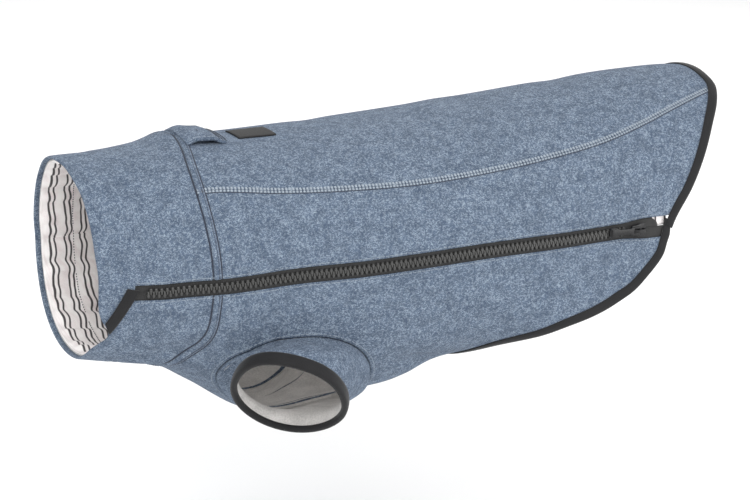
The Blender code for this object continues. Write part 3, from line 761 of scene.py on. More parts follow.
def sewing_thread(name, tint):
    """Twisted thread."""
    made = Shades(name, 0.7)
    place = made.solid()
    twist = made.noise(made.turned(place, 45, (5.0, 1.2, 5.0)), 1.0, 1.0, 0.5)
    base = made.tinted(made.fade(twist, 0.35, 0.7), tint, 0.72, 1.2)
    return made.finish(base, made.bump(twist, 0.08, 0.5), Sheen_Weight=0.1)


def pressed_patch():
    """Plain dark patch with a fine rib."""
    made = Shades("pressed_patch", 0.75)
    place = made.cloth()
    lint = made.noise(place, 1.0, 3.0, 0.6)
    base = made.tinted(made.fade(lint, 0.35, 0.7), colours().patch, 0.7, 1.35)
    height = made.maths("MULTIPLY_ADD", made.ribs(place, 0.7), 0.3, lint)
    return made.finish(base, made.bump(height, 0.15, 0.6), Specular_IOR_Level=0.3)


def studio_floor():
    made = Shades("studio_floor", 0.9)
    place = made.solid()
    cloudy = made.noise(place, 0.004, 2.0, 0.5)
    return made.finish(made.tinted(cloudy, colours().floor, 0.98, 1.0))


FINISHES = (
    heathered_knit, brushed_fleece, striped_cotton, ribbed_binding, zip_tape, moulded_teeth,
    glossy_enamel, pressed_patch, studio_floor,
)
THREADS = ("light_thread", "blue_thread", "navy_thread")
# Knit outside and its brushed face inside
KNIT = ("heathered_knit", "brushed_fleece")


def finish(name):
    """The named material, made when it is first asked for."""
    if name in bpy.data.materials:
        return bpy.data.materials[name]
    if name in THREADS:
        return sewing_thread(name, getattr(colours(), name))
    return next(maker for maker in FINISHES if maker.__name__ == name)()


# ---- Building cloth ----


def settle(obj, slot, replaced=(), body="garment"):
    """The piece rides on a body, takes its finish from a slot and stands for its solids."""
    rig.ride(obj, body)
    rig.slot(obj, slot)
    if replaced:
        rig.replaces(obj, *replaced)
    return obj


def new_piece(name, mesh, *finishes):
    for wanted in finishes:
        mesh.materials.append(finish(wanted))
    obj = bpy.data.objects.new(name, mesh)
    bpy.context.scene.collection.objects.link(obj)
    return obj


def arc_lengths(points, axis):
    """Distance covered along an axis of a grid of points."""
    steps = np.linalg.norm(np.diff(points, axis=axis), axis=-1)
    start = np.zeros_like(np.take(steps, [0], axis=axis))
    return np.concatenate([start, np.cumsum(steps, axis=axis)], axis=axis)


def cloth_grid(name, points, uv, wall, finishes, ring=False, cut=None):
    """Sheet through a grid of points, thickened inwards, with its place on the flat cloth as UV.

    Rows run tailwards or outwards and columns run round. cut marks points that are cut away.
    """
    rows, columns = points.shape[:2]
    across = columns - 1 if ring else columns
    corner_rows = np.array([0, 0, 1, 1])[:, None, None] + np.arange(rows - 1)[None, :, None]
    corner_columns = np.array([0, 1, 1, 0])[:, None, None] + np.arange(columns - 1)[None, None, :]
    corner_rows, corner_columns = np.broadcast_arrays(corner_rows, corner_columns)
    faces = (corner_rows * across + corner_columns % across).reshape(4, -1).T
    spots = (corner_rows * columns + corner_columns).reshape(4, -1).T
    if cut is not None:
        whole = ~cut.ravel()[spots].all(axis=1)
        faces, spots = faces[whole], spots[whole]
    used, faces = np.unique(faces, return_inverse=True)
    faces = faces.reshape(-1, 4)
    mesh = bpy.data.meshes.new(name)
    mesh.from_pydata(points[:, :across].reshape(-1, 3)[used], [], faces.tolist())
    layer = mesh.uv_layers.new(name="cloth")
    layer.data.foreach_set("uv", uv.reshape(-1, 2)[spots.ravel()].astype(np.float32).ravel())
    mesh.shade_smooth()
    obj = new_piece(name, mesh, *finishes)
    shell = obj.modifiers.new("wall", "SOLIDIFY")
    shell.thickness = wall
    shell.offset = -1
    if len(finishes) > 1:
        shell.material_offset = 1
        shell.material_offset_rim = 0
    return obj


def flat_uv(points, start=(0.0, 0.0)):
    """Each point's place on the flat cloth, from the lengths along and across the grid."""
    along = arc_lengths(points, 0)
    across = arc_lengths(points, 1)
    return np.stack([along + start[0], across + start[1]], -1)


# Narrow trims that go with the sheet they are sewn to
TRIMS = {
    "side_cloth_left": ("zip_tape_cloth_upper", "zip_facing_cloth"),
    "chest_cloth": ("zip_tape_cloth_lower", "armhole_ring_left", "armhole_ring_right"),
    "collar_cloth": ("zip_end_strip_tape",),
}


def declare_cloth(obj, points, held):
    """Says that the piece is a sheet, cut to the size of its grid."""
    along = arc_lengths(points, 0)[-1].max()
    across = arc_lengths(points, 1)[:, -1].max()
    area = min(sum(polygon.area for polygon in obj.data.polygons), along * across)
    CUTS[obj.name] = {"flat": (across, along), "held": held, "area": area}


CUTS = {}


def declare_sheets():
    for name, cut in CUTS.items():
        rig.sheet(bpy.data.objects[name], with_pieces=TRIMS.get(name, ()), **cut)


def sew(name, points, uv, wall, finishes, slot, solid=None, held=None, flat=None, **grid):
    """Cloth piece of the garment. held says how it lies, if it is a sheet of its own."""
    obj = cloth_grid(name, points, uv, wall, finishes, **grid)
    settle(obj, slot, [solid] if solid else ())
    if held:
        declare_cloth(obj, points if flat is None else flat, held)


def both_sides(left):
    """Names and grids of a piece on the wearer's left and of its mirror image."""
    return ("left", left), ("right", mirrored(left))


# Distances of the first rows from a seam, close enough to hold its ditch and its welt
NEAR_SEAM = np.array((0, 0.5, 1.0, 1.6, 2.3, 3.0, 3.6, 4.2, 4.8, 5.4, 6.2)) * MM


def rows_from_seam(span, step, longest):
    """Shares of each span that are fine next to the seam, then about a step apart."""
    near = NEAR_SEAM[:, None] / span
    rest = np.linspace(0, 1, round(longest / step) + 1)[1:, None]
    return np.concatenate([near, near[-1:] + (1 - near[-1:]) * rest])


def columns_across(width, step):
    """Shares of a width a step apart, and closer together next to both edges."""
    edges = np.array((0.7, 1.4, 2.2, 3.2)) * MM / width
    inner = np.linspace(edges[-1], 1 - edges[-1], round(width / step) + 1)[1:-1]
    return np.concatenate([[0], edges, inner, 1 - edges[::-1], [1]])


# ---- Stitches ----


def even_line(points, step):
    """Places along a line of points, a step apart, as index fractions."""
    along = arc_lengths(points, 0)
    count = max(1, int(along[-1] / step))
    at = (np.arange(count) + 0.5) * along[-1] / count
    return np.interp(at, along, np.arange(len(points)))


def read_line(values, at):
    """Values along a line, read at index fractions."""
    low = np.clip(np.floor(at).astype(int), 0, len(values) - 2)
    share = (at - low)[:, None]
    return values[low] * (1 - share) + values[low + 1] * share


def unit(vectors):
    return vectors / np.linalg.norm(vectors, axis=-1, keepdims=True)


def ring_faces(rings, sides):
    """Faces of a closed form through rings of points, with a cap at each end."""
    faces = [
        tuple(r * sides + (s + turn) % sides for r, turn in ((k, 0), (k, 1), (k + 1, 1), (k + 1, 0)))
        for k in range(rings - 1)
        for s in range(sides)
    ]
    return faces + [tuple(range(sides))[::-1], tuple(range((rings - 1) * sides, rings * sides))]


def copies(form, faces, origins, axes):
    """One mesh of a form set at each origin, along the three directions that axes gives there."""
    points = origins[:, None]
    for k, axis in enumerate(axes):
        points = points + form[None, :, k : k + 1] * axis[:, None]
    all_faces = [
        tuple(v + i * len(form) for v in face) for i in range(len(origins)) for face in faces
    ]
    mesh = bpy.data.meshes.new("copies")
    mesh.from_pydata(points.reshape(-1, 3), [], all_faces)
    return mesh


# Rings of a stitch: place along it, thickness, and depth below its line, as shares of its sizes
STITCH_RINGS = ((-0.5, 0.35, -0.7), (-0.36, 0.9, 0.0), (0.36, 0.9, 0.0), (0.5, 0.35, -0.7))
STITCH_SIDES = 6


def stitch_mesh(middles, ways, outs, long, thick, high=0.75):
    """One mesh of many stitches: slim bars of thread that dip into the cloth at both ends."""
    turn, half = np.arange(STITCH_SIDES) * 2 * np.pi / STITCH_SIDES, thick / 2
    form = np.array([
        (place * long, size * half * np.cos(a), size * half * high * np.sin(a) + dip * half)
        for place, size, dip in STITCH_RINGS
        for a in turn
    ])
    faces = ring_faces(len(STITCH_RINGS), STITCH_SIDES)
    mesh = copies(form, faces, middles, (ways, np.cross(outs, ways), outs))
    mesh.shade_smooth()
    return mesh


def joined(name, meshes, wanted):
    """One piece of several meshes, each with its own shading."""
    whole = bmesh.new()
    for mesh in meshes:
        whole.from_mesh(mesh)
        bpy.data.meshes.remove(mesh)
    bmesh.ops.recalc_face_normals(whole, faces=whole.faces)
    made = bpy.data.meshes.new(name)
    whole.to_mesh(made)
    whole.free()
    return new_piece(name, made, wanted)


def stitched(name, meshes, thread, slot="blue_knit"):
    settle(joined(name, meshes, thread), slot)


def frames_along(points, outs, step):
    """Places a step apart on a line, with the line's direction and the outward one at each."""
    at = even_line(points, step)
    ways = unit(read_line(points, at + 0.01) - read_line(points, at - 0.01))
    return read_line(points, at), ways, unit(read_line(outs, at))


def topstitch(points, outs, raise_by=0.12 * MM, long=None, gap=None, thick=None):
    """Stitches along a line over the cloth. A gap below 0 makes them one cord."""
    size = sizes()
    long = size.stitch if long is None else long
    gap = size.stitch_gap if gap is None else gap
    middles, ways, outs = frames_along(points, outs, long + gap)
    return stitch_mesh(middles + outs * raise_by, ways, outs, long, thick or size.thread)


def cord(points, outs, raise_by, thick):
    """Sunk thread without gaps along a line. Many of these are dark lines of painted shade in the seams' ditches and
    grooves.
    """
    return topstitch(points, outs, raise_by, 2.4 * MM, -0.9 * MM, thick)


def cloth_line(x, angle):
    """Points and outward directions along a line over the body's cloth."""
    return skin(x, angle), normal_of(folded_form, x, angle)


# ---- Body panels ----

# Solid, lines of both long sides, usual width, and where the panel starts on the flat cloth
PANELS = {
    "back_cloth": (
        "back_panel", seam_line("back_seam", -1), seam_line("back_seam", 1), 150 * MM, 0.0,
    ),
    "side_cloth_left": (
        "side_panel_left", seam_line("back_seam", 1), lambda x: zip_angle(x, -zip_spread(x)),
        60 * MM, 0.2,
    ),
    "chest_cloth": (
        "chest_panel", lambda x: zip_angle(x, zip_spread(x)),
        lambda x: 360 + seam_line("zip_line", -1)(x), 250 * MM, 0.3,
    ),
    "side_cloth_right": (
        "side_panel_right", seam_line("zip_line", -1), seam_line("back_seam", -1), 66 * MM, 0.6,
    ),
}
BODY_LENGTH = 370 * MM
SEAM_EDGE = 0.02 * MM
COLLAR_WELT, ARMHOLE_WELT = 4.2 * MM, 2.8 * MM
# The chest panel ends where armhole_radius is this, and a ring of cloth goes on to the seam
RING_HOLE = 1.19
ARMHOLE_ROUND, SLEEVE_ROUND = 270 * MM, 300 * MM


def armhole_radius(x, angle):
    """1 on the armhole seam of the nearer side, less inside it."""
    own = np.where(angle > 180, 360 - angle, angle)
    height = np.where(own < ARMHOLE["angle"], ARMHOLE["rise"], ARMHOLE["drop"])
    return np.hypot((x - ARMHOLE["station"]) / ARMHOLE["reach"], (own - ARMHOLE["angle"]) / height)


def clear_of_armholes(x, angle):
    """Moves places inside the armhole rings out to their edge, and says which they were."""
    radius = armhole_radius(x, angle)
    inside = radius < RING_HOLE
    middle = np.where(angle > 180, 360 - ARMHOLE["angle"], ARMHOLE["angle"])
    share = np.where(inside, RING_HOLE / np.maximum(radius, 1e-3), 1)
    moved_x = ARMHOLE["station"] + (x - ARMHOLE["station"]) * share
    moved_angle = middle + (angle - middle) * share
    return np.where(inside, moved_x, x), np.where(inside, moved_angle, angle), inside


def seam_relief(distance, width, rise=0.55 * MM, ditch=0.9 * MM):
    """Height of the cloth beside a seam: a ditch, the allowance under it, then a sewn groove."""
    dip = ditch * (1 - ramp_up(distance, 0, 1.1 * MM))
    welt = rise * ramp_up(distance, 0, 1.3 * MM) * (1 - ramp_up(distance, width, width + MM))
    groove = 0.35 * MM * np.exp(-(((distance - width - 0.5 * MM) / (0.6 * MM)) ** 2))
    return welt - dip - groove


def body_panel(name):
    solid, first_line, last_line, width, start = PANELS[name]
    size = sizes()
    columns = columns_across(width, size.mesh_step)

    def collar_end(angle):
        return edge("collar_seam", angle) + SEAM_EDGE

    def hem_end(angle):
        return edge("hem", angle)

    ends = [
        between(first_line, last_line, columns, collar_end, hem_end, share + 0 * columns)[0]
        for share in (0, 1)
    ]
    u = rows_from_seam(ends[1] - ends[0], size.mesh_step, BODY_LENGTH)
    v = columns[None] + 0 * u
    x, angle = between(first_line, last_line, v, collar_end, hem_end, u)
    cut = None
    sunk = 0.0
    if solid == "chest_panel":
        x, angle, cut = clear_of_armholes(x, angle)
        sunk = 0.12 * MM * (1 - ramp_up(armhole_radius(x, angle), RING_HOLE, RING_HOLE + 0.08))
    flat = skin(x, angle)
    along, across = arc_lengths(flat, 0), arc_lengths(flat, 1)
    from_sides = np.minimum(across, across[:, -1:] - across)
    flat_seam = -0.35 * MM * (1 - ramp_up(from_sides, 0, 2.2 * MM))
    points = skin(x, angle, seam_relief(along, COLLAR_WELT) + flat_seam - sunk)
    uv = np.stack([x, across + start], -1)
    sew(name, points, uv, size.cloth_wall, KNIT, "blue_knit", solid, "draped", flat, cut=cut)


def armhole_ring():
    """Chest cloth round the left armhole, with a welt beside the seam."""
    size = sizes()
    distances = np.concatenate([NEAR_SEAM, np.arange(7.6, 15, 1.4) * MM])
    phases = np.linspace(360, 0, round(ARMHOLE_ROUND / size.mesh_step) + 1)
    distance, phase = np.meshgrid(distances, phases, indexing="ij")
    x, angle = armhole_place(phase, -distance - SEAM_EDGE)
    lift = seam_relief(distance, ARMHOLE_WELT) - 0.3 * MM * ramp_up(distance, 11 * MM, 15 * MM)
    return skin(x, angle, lift)


class SWEATER_OT_body(bpy.types.Operator):
    """Cut and drape the back, side and chest panels"""

    bl_idname = "sweater.body"
    bl_label = "Body panels"

    def execute(self, context):
        for name in PANELS:
            body_panel(name)
        for side, points in both_sides(armhole_ring()):
            uv = flat_uv(points, (0.2, 0.8))
            sew("armhole_ring_" + side, points, uv, RING_WALL, KNIT, "blue_knit", ring=True)
        return {"FINISHED"}


# ---- Sleeves ----

def armhole_place(phase, inset=0.0):
    """Station and angle of the left armhole seam. Phase 0 is its rear, 90 its top."""
    turn = np.radians(phase)
    height = np.where(np.sin(turn) > 0, ARMHOLE["rise"], ARMHOLE["drop"])
    x = ARMHOLE["station"] + (ARMHOLE["reach"] - inset) * np.cos(turn)
    angle = ARMHOLE["angle"] - height * np.sin(turn)
    return x, angle + degrees_for(inset, x, angle) * np.sin(turn)


def cuff_frame():
    """Axis of the cuff, out of the sleeve, and its directions to the rear and to the top."""
    axis = CUFF_AXIS / np.linalg.norm(CUFF_AXIS)
    rear = unit(np.array((1.0, 0.0, 0.0)) - axis * axis[0])
    return axis, rear, np.cross(axis, rear)


def cuff_ring(phase, radius, back):
    """Points of a circle round the cuff's axis, this far back from its edge."""
    axis, rear, top = cuff_frame()
    turn = np.radians(phase)[..., None]
    return (
        CUFF_CENTRE - axis * np.asarray(back)[..., None]
        + np.asarray(radius)[..., None] * (rear * np.cos(turn) + top * np.sin(turn))
    )


def sleeve_form(u, phase):
    """The sleeve sweeps from the armhole to a short straight tube under the cuff's binding."""
    size = sizes()
    x, angle = armhole_place(phase, -0.12 * MM)
    start = skin(x, angle)
    end = cuff_ring(phase, CUFF_RADIUS + 0 * phase, size.cuff_leaf + 0 * phase)
    reach = np.linalg.norm(end - start, axis=-1)[..., None]
    leave = normal_of(round_form, x, angle) * SLEEVE_BULGE * reach
    arrive = cuff_frame()[0] * reach
    t = np.clip(u / SLEEVE_SWEEP, 0, 1)[..., None]
    swept_part = (
        (2 * t**3 - 3 * t**2 + 1) * start
        + (t**3 - 2 * t**2 + t) * leave
        + (3 * t**2 - 2 * t**3) * end
        + (t**3 - t**2) * arrive
    )
    run = np.clip((u - SLEEVE_SWEEP) / (1 - SLEEVE_SWEEP), 0, 1)[..., None]
    return swept_part + cuff_frame()[0] * (size.cuff_leaf - 1.4 * MM) * run


def tube_normals(points):
    """Outward directions of a tube's grid, whose rows run outwards and columns run round."""
    padded = np.concatenate([points[:, -2:-1], points, points[:, 1:2]], axis=1)
    return unit(np.cross(padded[:, 2:] - padded[:, :-2], np.gradient(points, axis=0)))


def sleeve_points():
    size = sizes()
    rows = np.concatenate([[0, 0.015, 0.035, 0.06], np.linspace(0.09, 1, 26)])
    phases = np.linspace(0, 360, round(SLEEVE_ROUND / size.mesh_step) + 1)
    u, phase = np.meshgrid(rows, phases, indexing="ij")
    form = sleeve_form(u, phase)
    lift = 0 * u
    for row in SLEEVE_FOLDS:
        fold = dict(zip(SLEEVE_FOLD_COLUMNS, row))
        aside = ((phase - fold["phase"] + 180) % 360 - 180) / fold["half_phase"]
        ahead = (u - fold["place"]) / fold["half_place"]
        lift = lift + fold["depth"] * MM * np.exp(-(aside**2) - ahead**2)
    ditch = -0.7 * MM * (1 - ramp_up(arc_lengths(form, 0), 0, 1.4 * MM))
    lift = lift * ramp_up(u, 0, 0.06) + ditch * ramp_up(u, -0.001, 0.02)
    return form + tube_normals(form) * lift[..., None]


def mirrored(points):
    """The same grid on the wearer's right, still facing outwards."""
    return (points * (1, -1, 1))[:, ::-1]


class SWEATER_OT_sleeves(bpy.types.Operator):
    """Sew the short sleeves into the armholes"""

    bl_idname = "sweater.sleeves"
    bl_label = "Sleeves"

    def execute(self, context):
        for side, points in both_sides(sleeve_points()):
            sew(
                "sleeve_cloth_" + side, points, flat_uv(points, (0.1, 0.7)), sizes().cloth_wall,
                KNIT, "blue_knit", "sleeve_" + side, "draped", ring=True,
            )
        return {"FINISHED"}


# ---- Collar ----

SLOT_START = -221 * MM
# Angles of the columns on both edges of the zip's slot, and how far round they bend the others
SLOT_COLUMNS = (92.5, 102.5)
SLOT_BENDS = (60.0, 145.0)
COLLAR_STITCHES = (20.5 * MM, 24.5 * MM)
COLLAR_HEIGHT = 65 * MM


def collar_columns(step):
    above, below = SLOT_COLUMNS
    return np.concatenate([
        np.linspace(-90, above, round(182 / step) + 1), np.linspace(below, 270, round(168 / step) + 1),
    ])


def collar_grid(profile, columns):
    """Grid round the neck with the zip's slot between two columns, and which points it takes.

    profile is rows of (share from rim to seam, distance back from the rim, lift).
    """
    share, back, lift = (np.array(column)[:, None] for column in zip(*profile))
    above, below = SLOT_COLUMNS
    bends = (SLOT_BENDS[0], above, below, SLOT_BENDS[1])
    to_above, to_below = (np.interp(columns, bends, row) for row in ((0, 1, 0, 0), (0, 0, 1, 0)))
    angle = columns[None] + 0 * share
    for _ in range(5):
        rim, seam = edge("rim", angle), edge("collar_seam", angle) - SEAM_EDGE
        x = rim + (seam - rim) * share + back
        angle = (
            columns[None] + to_above * (zip_angle(x, -zip_spread(x)) - above)
            + to_below * (zip_angle(x, zip_spread(x)) - below)
        )
    cut = (columns[None] >= above) & (columns[None] <= below) & (x > SLOT_START)
    return x, angle, lift + 0 * x, cut


def collar_cloth():
    """Knit from the seam to the rim, over the rim and a little way inside."""
    size = sizes()
    half = size.cloth_wall / 2
    turn = np.linspace(0, np.pi, 7)
    inside = [(0.0, size.turned_edge * share, -size.cloth_wall) for share in (1.6, 1.2, 0.8)]
    over = [(0.0, half * (1 - np.sin(a)), -half - half * np.cos(a)) for a in turn]
    span = COLLAR_HEIGHT
    shares = 1 - rows_from_seam(np.array([span]), size.mesh_step, span)[::-1, 0]
    outside = [(share, half * (1 - share), 0.0) for share in shares[1:]]
    x, angle, lift, cut = collar_grid(inside + over + outside, collar_columns(1.4))
    flat = skin(x, angle, lift)
    along = arc_lengths(flat, 0)
    from_seam = along[-1:] - along
    from_rim = np.maximum(along - along[len(inside) + len(turn) // 2], 0)
    channel = sum(
        -0.4 * MM * np.exp(-(((from_rim - at) / (1.0 * MM)) ** 2)) for at in COLLAR_STITCHES
    )
    ditch = -0.9 * MM * (1 - ramp_up(from_seam, 0, 1.3 * MM))
    relief = (ditch + channel) * (lift > -0.1 * MM)
    return skin(x, angle, lift + relief), flat, cut


def puckers(x, angle):
    """Soft waves of the lining, in metres."""
    waves = (
        (31, 0.9, 0.0, 0.55), (23, 2.1, 40.0, 0.45), (47, 4.0, 75.0, 0.25), (11, 5.2, 20.0, 0.5),
    )
    height = 0 * x
    for count, phase, slant, size in waves:
        height = height + size * np.sin(np.radians(angle) * count + phase + x / MM * slant / 1000)
    return height * 1.5 * MM


def collar_lining():
    size = sizes()
    front = size.turned_edge
    profile = [(share, front * (1 - share), 0.0) for share in np.linspace(0, 1, 44)]
    x, angle, _, cut = collar_grid(profile, collar_columns(1.0))
    depth = size.cloth_wall + size.lining_gap
    from_rim = x - x[:1]
    slack = ramp_up(from_rim, 0, 6 * MM)
    lift = (puckers(x, angle) - 0.9 * MM) * (0.25 + 0.75 * slack) - depth + MM * (1 - slack)
    points = skin(x, angle, np.minimum(lift, -size.cloth_wall - 0.05 * MM))
    return points, np.stack([from_rim, arc_lengths(points, 1)], -1), cut


class SWEATER_OT_collar(bpy.types.Operator):
    """Fold the stand collar over its striped lining"""

    bl_idname = "sweater.collar"
    bl_label = "Collar and lining"

    def execute(self, context):
        points, flat, cut = collar_cloth()
        sew(
            "collar_cloth", points, flat_uv(flat, (0.5, 0.1)), COLLAR_WALL, KNIT, "blue_knit",
            "collar", "draped", ring=True, cut=cut,
        )
        points, uv, cut = collar_lining()
        sew(
            "collar_lining_cloth", points, uv, sizes().lining_wall,
            ("brushed_fleece", "striped_cotton"), "striped_lining", "collar_lining", "draped",
            ring=True, cut=cut,
        )
        return {"FINISHED"}


# ---- Bindings ----

# How far each end of the hem's binding runs past the zip's middle line
HEM_OVERLAP = 1.8 * MM
# How far the hem's binding reaches past the cloth's edge, and how its first end is tucked in
HEM_PROUD, HEM_TUCK, HEM_TUCK_DEPTH = 1.0 * MM, 1.4 * MM, 0.5 * MM
CUFF_ROUND = 215 * MM

def binding_profile(leaf):
    """Tape folded over an edge, as (back from the free edge, height over the outer face)."""
    size = sizes()
    wall = size.binding_wall
    top, under = wall + 0.25 * MM, -size.cloth_wall - wall - 0.2 * MM
    middle, fold = (top + under) / 2, (top - under) / 2
    outer = [
        (leaf * s, top - 0.4 * MM * ramp_up(s, 0.7, 1.0) + 0.15 * MM * np.sin(np.pi * s))
        for s in np.linspace(1, 0.25, 9)
    ]
    bend = [
        (1.9 * MM * (1 + np.cos(a)), middle + fold * np.sin(a))
        for a in np.linspace(np.pi / 2, 3 * np.pi / 2, 9)
    ]
    inner = [(reach, under) for reach in np.linspace(1.9 * MM, size.inner_leaf, 4)[1:]]
    return np.array(outer[:-1] + bend + inner)


def hem_places(step):
    """Stations, angles and inward directions along the hem, from the zip round to the zip."""
    first, last = ZIP_NEAR, ZIP_NEAR + 360
    for _ in range(8):
        first = zip_angle(edge("hem", first), -HEM_OVERLAP)
        last = zip_angle(edge("hem", last), HEM_OVERLAP) + 360
    fine = np.linspace(first, last, 3000)
    along = arc_lengths(skin(edge("hem", fine), fine), 0)
    angles = np.interp(np.arange(0, along[-1], step), along, fine)
    angles[-1] = last
    x = edge("hem", angles)
    turn = 0.2
    along = skin(edge("hem", angles + turn), angles + turn) - skin(
        edge("hem", angles - turn), angles - turn
    )
    return x, angles, unit(np.cross(along, normal_of(folded_form, x, angles)))


class SWEATER_OT_bindings(bpy.types.Operator):
    """Bind the hem and the cuffs with folded tape"""

    bl_idname = "sweater.bindings"
    bl_label = "Hem and cuff bindings"

    def execute(self, context):
        size = sizes()
        profile = binding_profile(size.hem_leaf)
        x, angles, inward = hem_places(size.mesh_step)
        tucked = 1 - ramp_up(size.mesh_step * np.arange(len(x)), 2 * MM, 9 * MM)
        points = np.stack([
            skin(
                *walk(x, angles, inward, back - HEM_PROUD + HEM_TUCK * tucked),
                height - HEM_TUCK_DEPTH * tucked,
            )
            for back, height in profile
        ])
        tape = (size.binding_wall, ("ribbed_binding",), "black_binding")
        uv = flat_uv(points)[..., ::-1]
        sew("hem_binding_tape", points, uv, *tape, "hem_binding", "folded")
        phase = np.linspace(0, 360, round(CUFF_ROUND / size.mesh_step) + 1)
        wander = 0.35 * MM * np.sin(np.radians(phase) * 3 + 0.7) + 0.25 * MM * np.sin(
            np.radians(phase) * 5 + 2.0
        )
        left = np.stack([
            cuff_ring(phase, CUFF_RADIUS + height + wander, back + wander * 0.5)
            for back, height in binding_profile(size.cuff_leaf)[::-1]
        ], axis=0)[::-1]
        for side, points in both_sides(left):
            uv = flat_uv(points)[..., ::-1]
            name, solid = "cuff_binding_tape_" + side, "cuff_binding_" + side
            sew(name, points, uv, *tape, solid, "folded", ring=True)
        return {"FINISHED"}


# ---- Zip ----


def zip_strip(start, end, near, far, lift, side, columns, step=2 * MM):
    """Grid along the zip between two distances from its middle line, on side +1 (below) or -1."""
    share = np.linspace(0, 1, columns + 1)[None]
    if side < 0:
        share = 1 - share
    end = end(share) if callable(end) else end + 0 * share
    x = start + (end - start) * np.linspace(0, 1, round((end.max() - start) / step) + 1)[:, None]
    across = side * (near + (far(x) - near) * share)
    x = x + 0 * across
    return skin(x, zip_angle(x, across), lift)


def zip_frames(x):
    """Origins, tailwards, spinewards and outward directions along the zip's middle line."""
    origin = skin(x, zip_angle(x))
    tailwards = skin(x + MM, zip_angle(x + MM)) - skin(x - MM, zip_angle(x - MM))
    out = normal_of(folded_form, x, zip_angle(x))
    tailwards = unit(tailwards - out * (tailwards * out).sum(-1, keepdims=True))
    return origin, tailwards, np.cross(out, tailwards), out


# Half outline of a tooth, in mm: place across the zip from its middle line, and half width
TOOTH = (
    (1.05, 0.34), (0.82, 0.60), (-0.80, 0.68), (-1.15, 1.06), (-1.72, 1.06), (-2.05, 0.66),
    (-2.85, 0.66),
)
TOOTH_LAYERS = ((-1.0, 1.0), (0.95, 1.0), (1.35, 0.72))


def tooth_form():
    """Points and faces of one tooth that reaches up from the lower tape."""
    outline = [(half, -across) for across, half in TOOTH]
    outline += [(-half, place) for half, place in reversed(outline)]
    middle = np.mean(outline, axis=0)
    points = [
        (middle[0] + (x - middle[0]) * scale, middle[1] + (y - middle[1]) * scale, z)
        for z, scale in TOOTH_LAYERS
        for x, y in outline
    ]
    return np.array(points) * MM, ring_faces(len(TOOTH_LAYERS), len(outline))


def teeth_rows():
    """Meshes of the teeth on the lower tape and, half a pitch on, of those on the upper one."""
    pitch = sizes().tooth_pitch
    form, faces = tooth_form()
    count = int((TEETH_END - TEETH_START) / pitch)
    for facing, shift in (((1, -1, 1), 0.0), ((-1, 1, 1), pitch / 2)):
        x = TEETH_START + shift + pitch * np.arange(count)
        origin, *axes = zip_frames(x)
        yield copies(form * facing, faces, origin, axes)


FACING_START, FACING_END_ANGLE = 112 * MM, 95.0
# Shifts the facing's one visible stripe to just before the hem's binding
FACING_STRIPE = -12.9 * MM


class SWEATER_OT_zip(bpy.types.Operator):
    """Set the zip's tapes, teeth, facing and end strip"""

    bl_idname = "sweater.zip"
    bl_label = "Side zip"

    def execute(self, context):
        size = sizes()
        lower_end = edge("hem", LOWER_TAPE_END_ANGLE) - 0.3 * MM
        for name, end, side in (
            ("upper", lambda share: UPPER_TAPE_END + (3 - 7 * share**3) * MM, -1),
            ("lower", lower_end, 1),
        ):
            points = zip_strip(
                ZIP_TAPE_START, end, -0.4 * MM, lambda x: zip_spread(x) + 0.3 * MM,
                (side - 1) * 0.1 * MM - TAPE_DEPTH, side, 4,
            )
            sew(
                "zip_tape_cloth_" + name, points, flat_uv(points), size.tape_wall, ("zip_tape",),
                "black_tape", "zip_tape_" + name,
            )
        teeth = joined("zip_teeth", teeth_rows(), "moulded_teeth")
        settle(teeth, "black_moulding", ["zip_chain"])
        points = zip_strip(
            FACING_START, edge("hem", FACING_END_ANGLE) - 1.2 * MM, 0.6 * MM, lambda x: 9.0 * MM,
            -size.cloth_wall - 0.3 * MM, -1, 6, MM,
        )
        sew(
            "zip_facing_cloth", points, flat_uv(points, (FACING_STRIPE, 0)), TRIM_WALL,
            ("striped_cotton",), "striped_lining", "zip_facing",
        )
        u, v = np.meshgrid(np.linspace(0, 1, 9), np.linspace(0, 1, 29), indexing="ij")
        (top_near, top_far), (foot_near, foot_far) = np.array((STRIP_TOP, STRIP_FOOT))
        top = top_near + (top_far - top_near) * u[..., None]
        foot = foot_near + (foot_far - foot_near) * u[..., None]
        x, angle = np.moveaxis(top + (foot - top) * v[..., None], -1, 0)
        points = skin(x, angle, 1.2 * MM + 0.25 * MM * np.sin(np.pi * u))
        sew(
            "zip_end_strip_tape", points, flat_uv(points)[..., ::-1], TRIM_WALL,
            ("ribbed_binding",), "black_binding", "zip_end_strip",
        )
        return {"FINISHED"}


# ---- Slider and pull tab ----


def placed(origin, tailwards, spinewards, out):
    """Matrix whose local X runs tailwards and Z out of the cloth."""
    matrix = Matrix.Identity(4)
    for column, axis in enumerate((tailwards, spinewards, out, origin)):
        for row in range(3):
            matrix[row][column] = axis[row]
    return matrix


def plate(outline, low, high, bevel):
    """Flat plate with rounded edges, in mm, from half an outline of (along, half width)."""
    corners = [(x, y) for x, y in outline] + [(x, -y) for x, y in reversed(outline)]
    shape = bmesh.new()
    verts = [shape.verts.new((x * MM, y * MM, low * MM)) for x, y in corners]
    face = shape.faces.new(verts)
    grown = bmesh.ops.extrude_face_region(shape, geom=[face])
    tops = [item for item in grown["geom"] if isinstance(item, bmesh.types.BMVert)]
    bmesh.ops.translate(shape, vec=(0, 0, (high - low) * MM), verts=tops)
    bmesh.ops.recalc_face_normals(shape, faces=shape.faces)
    bmesh.ops.bevel(
        shape, geom=list(shape.edges), offset=bevel * MM, segments=2, profile=0.6,
        affect="EDGES", clamp_overlap=True,
    )
    return shape


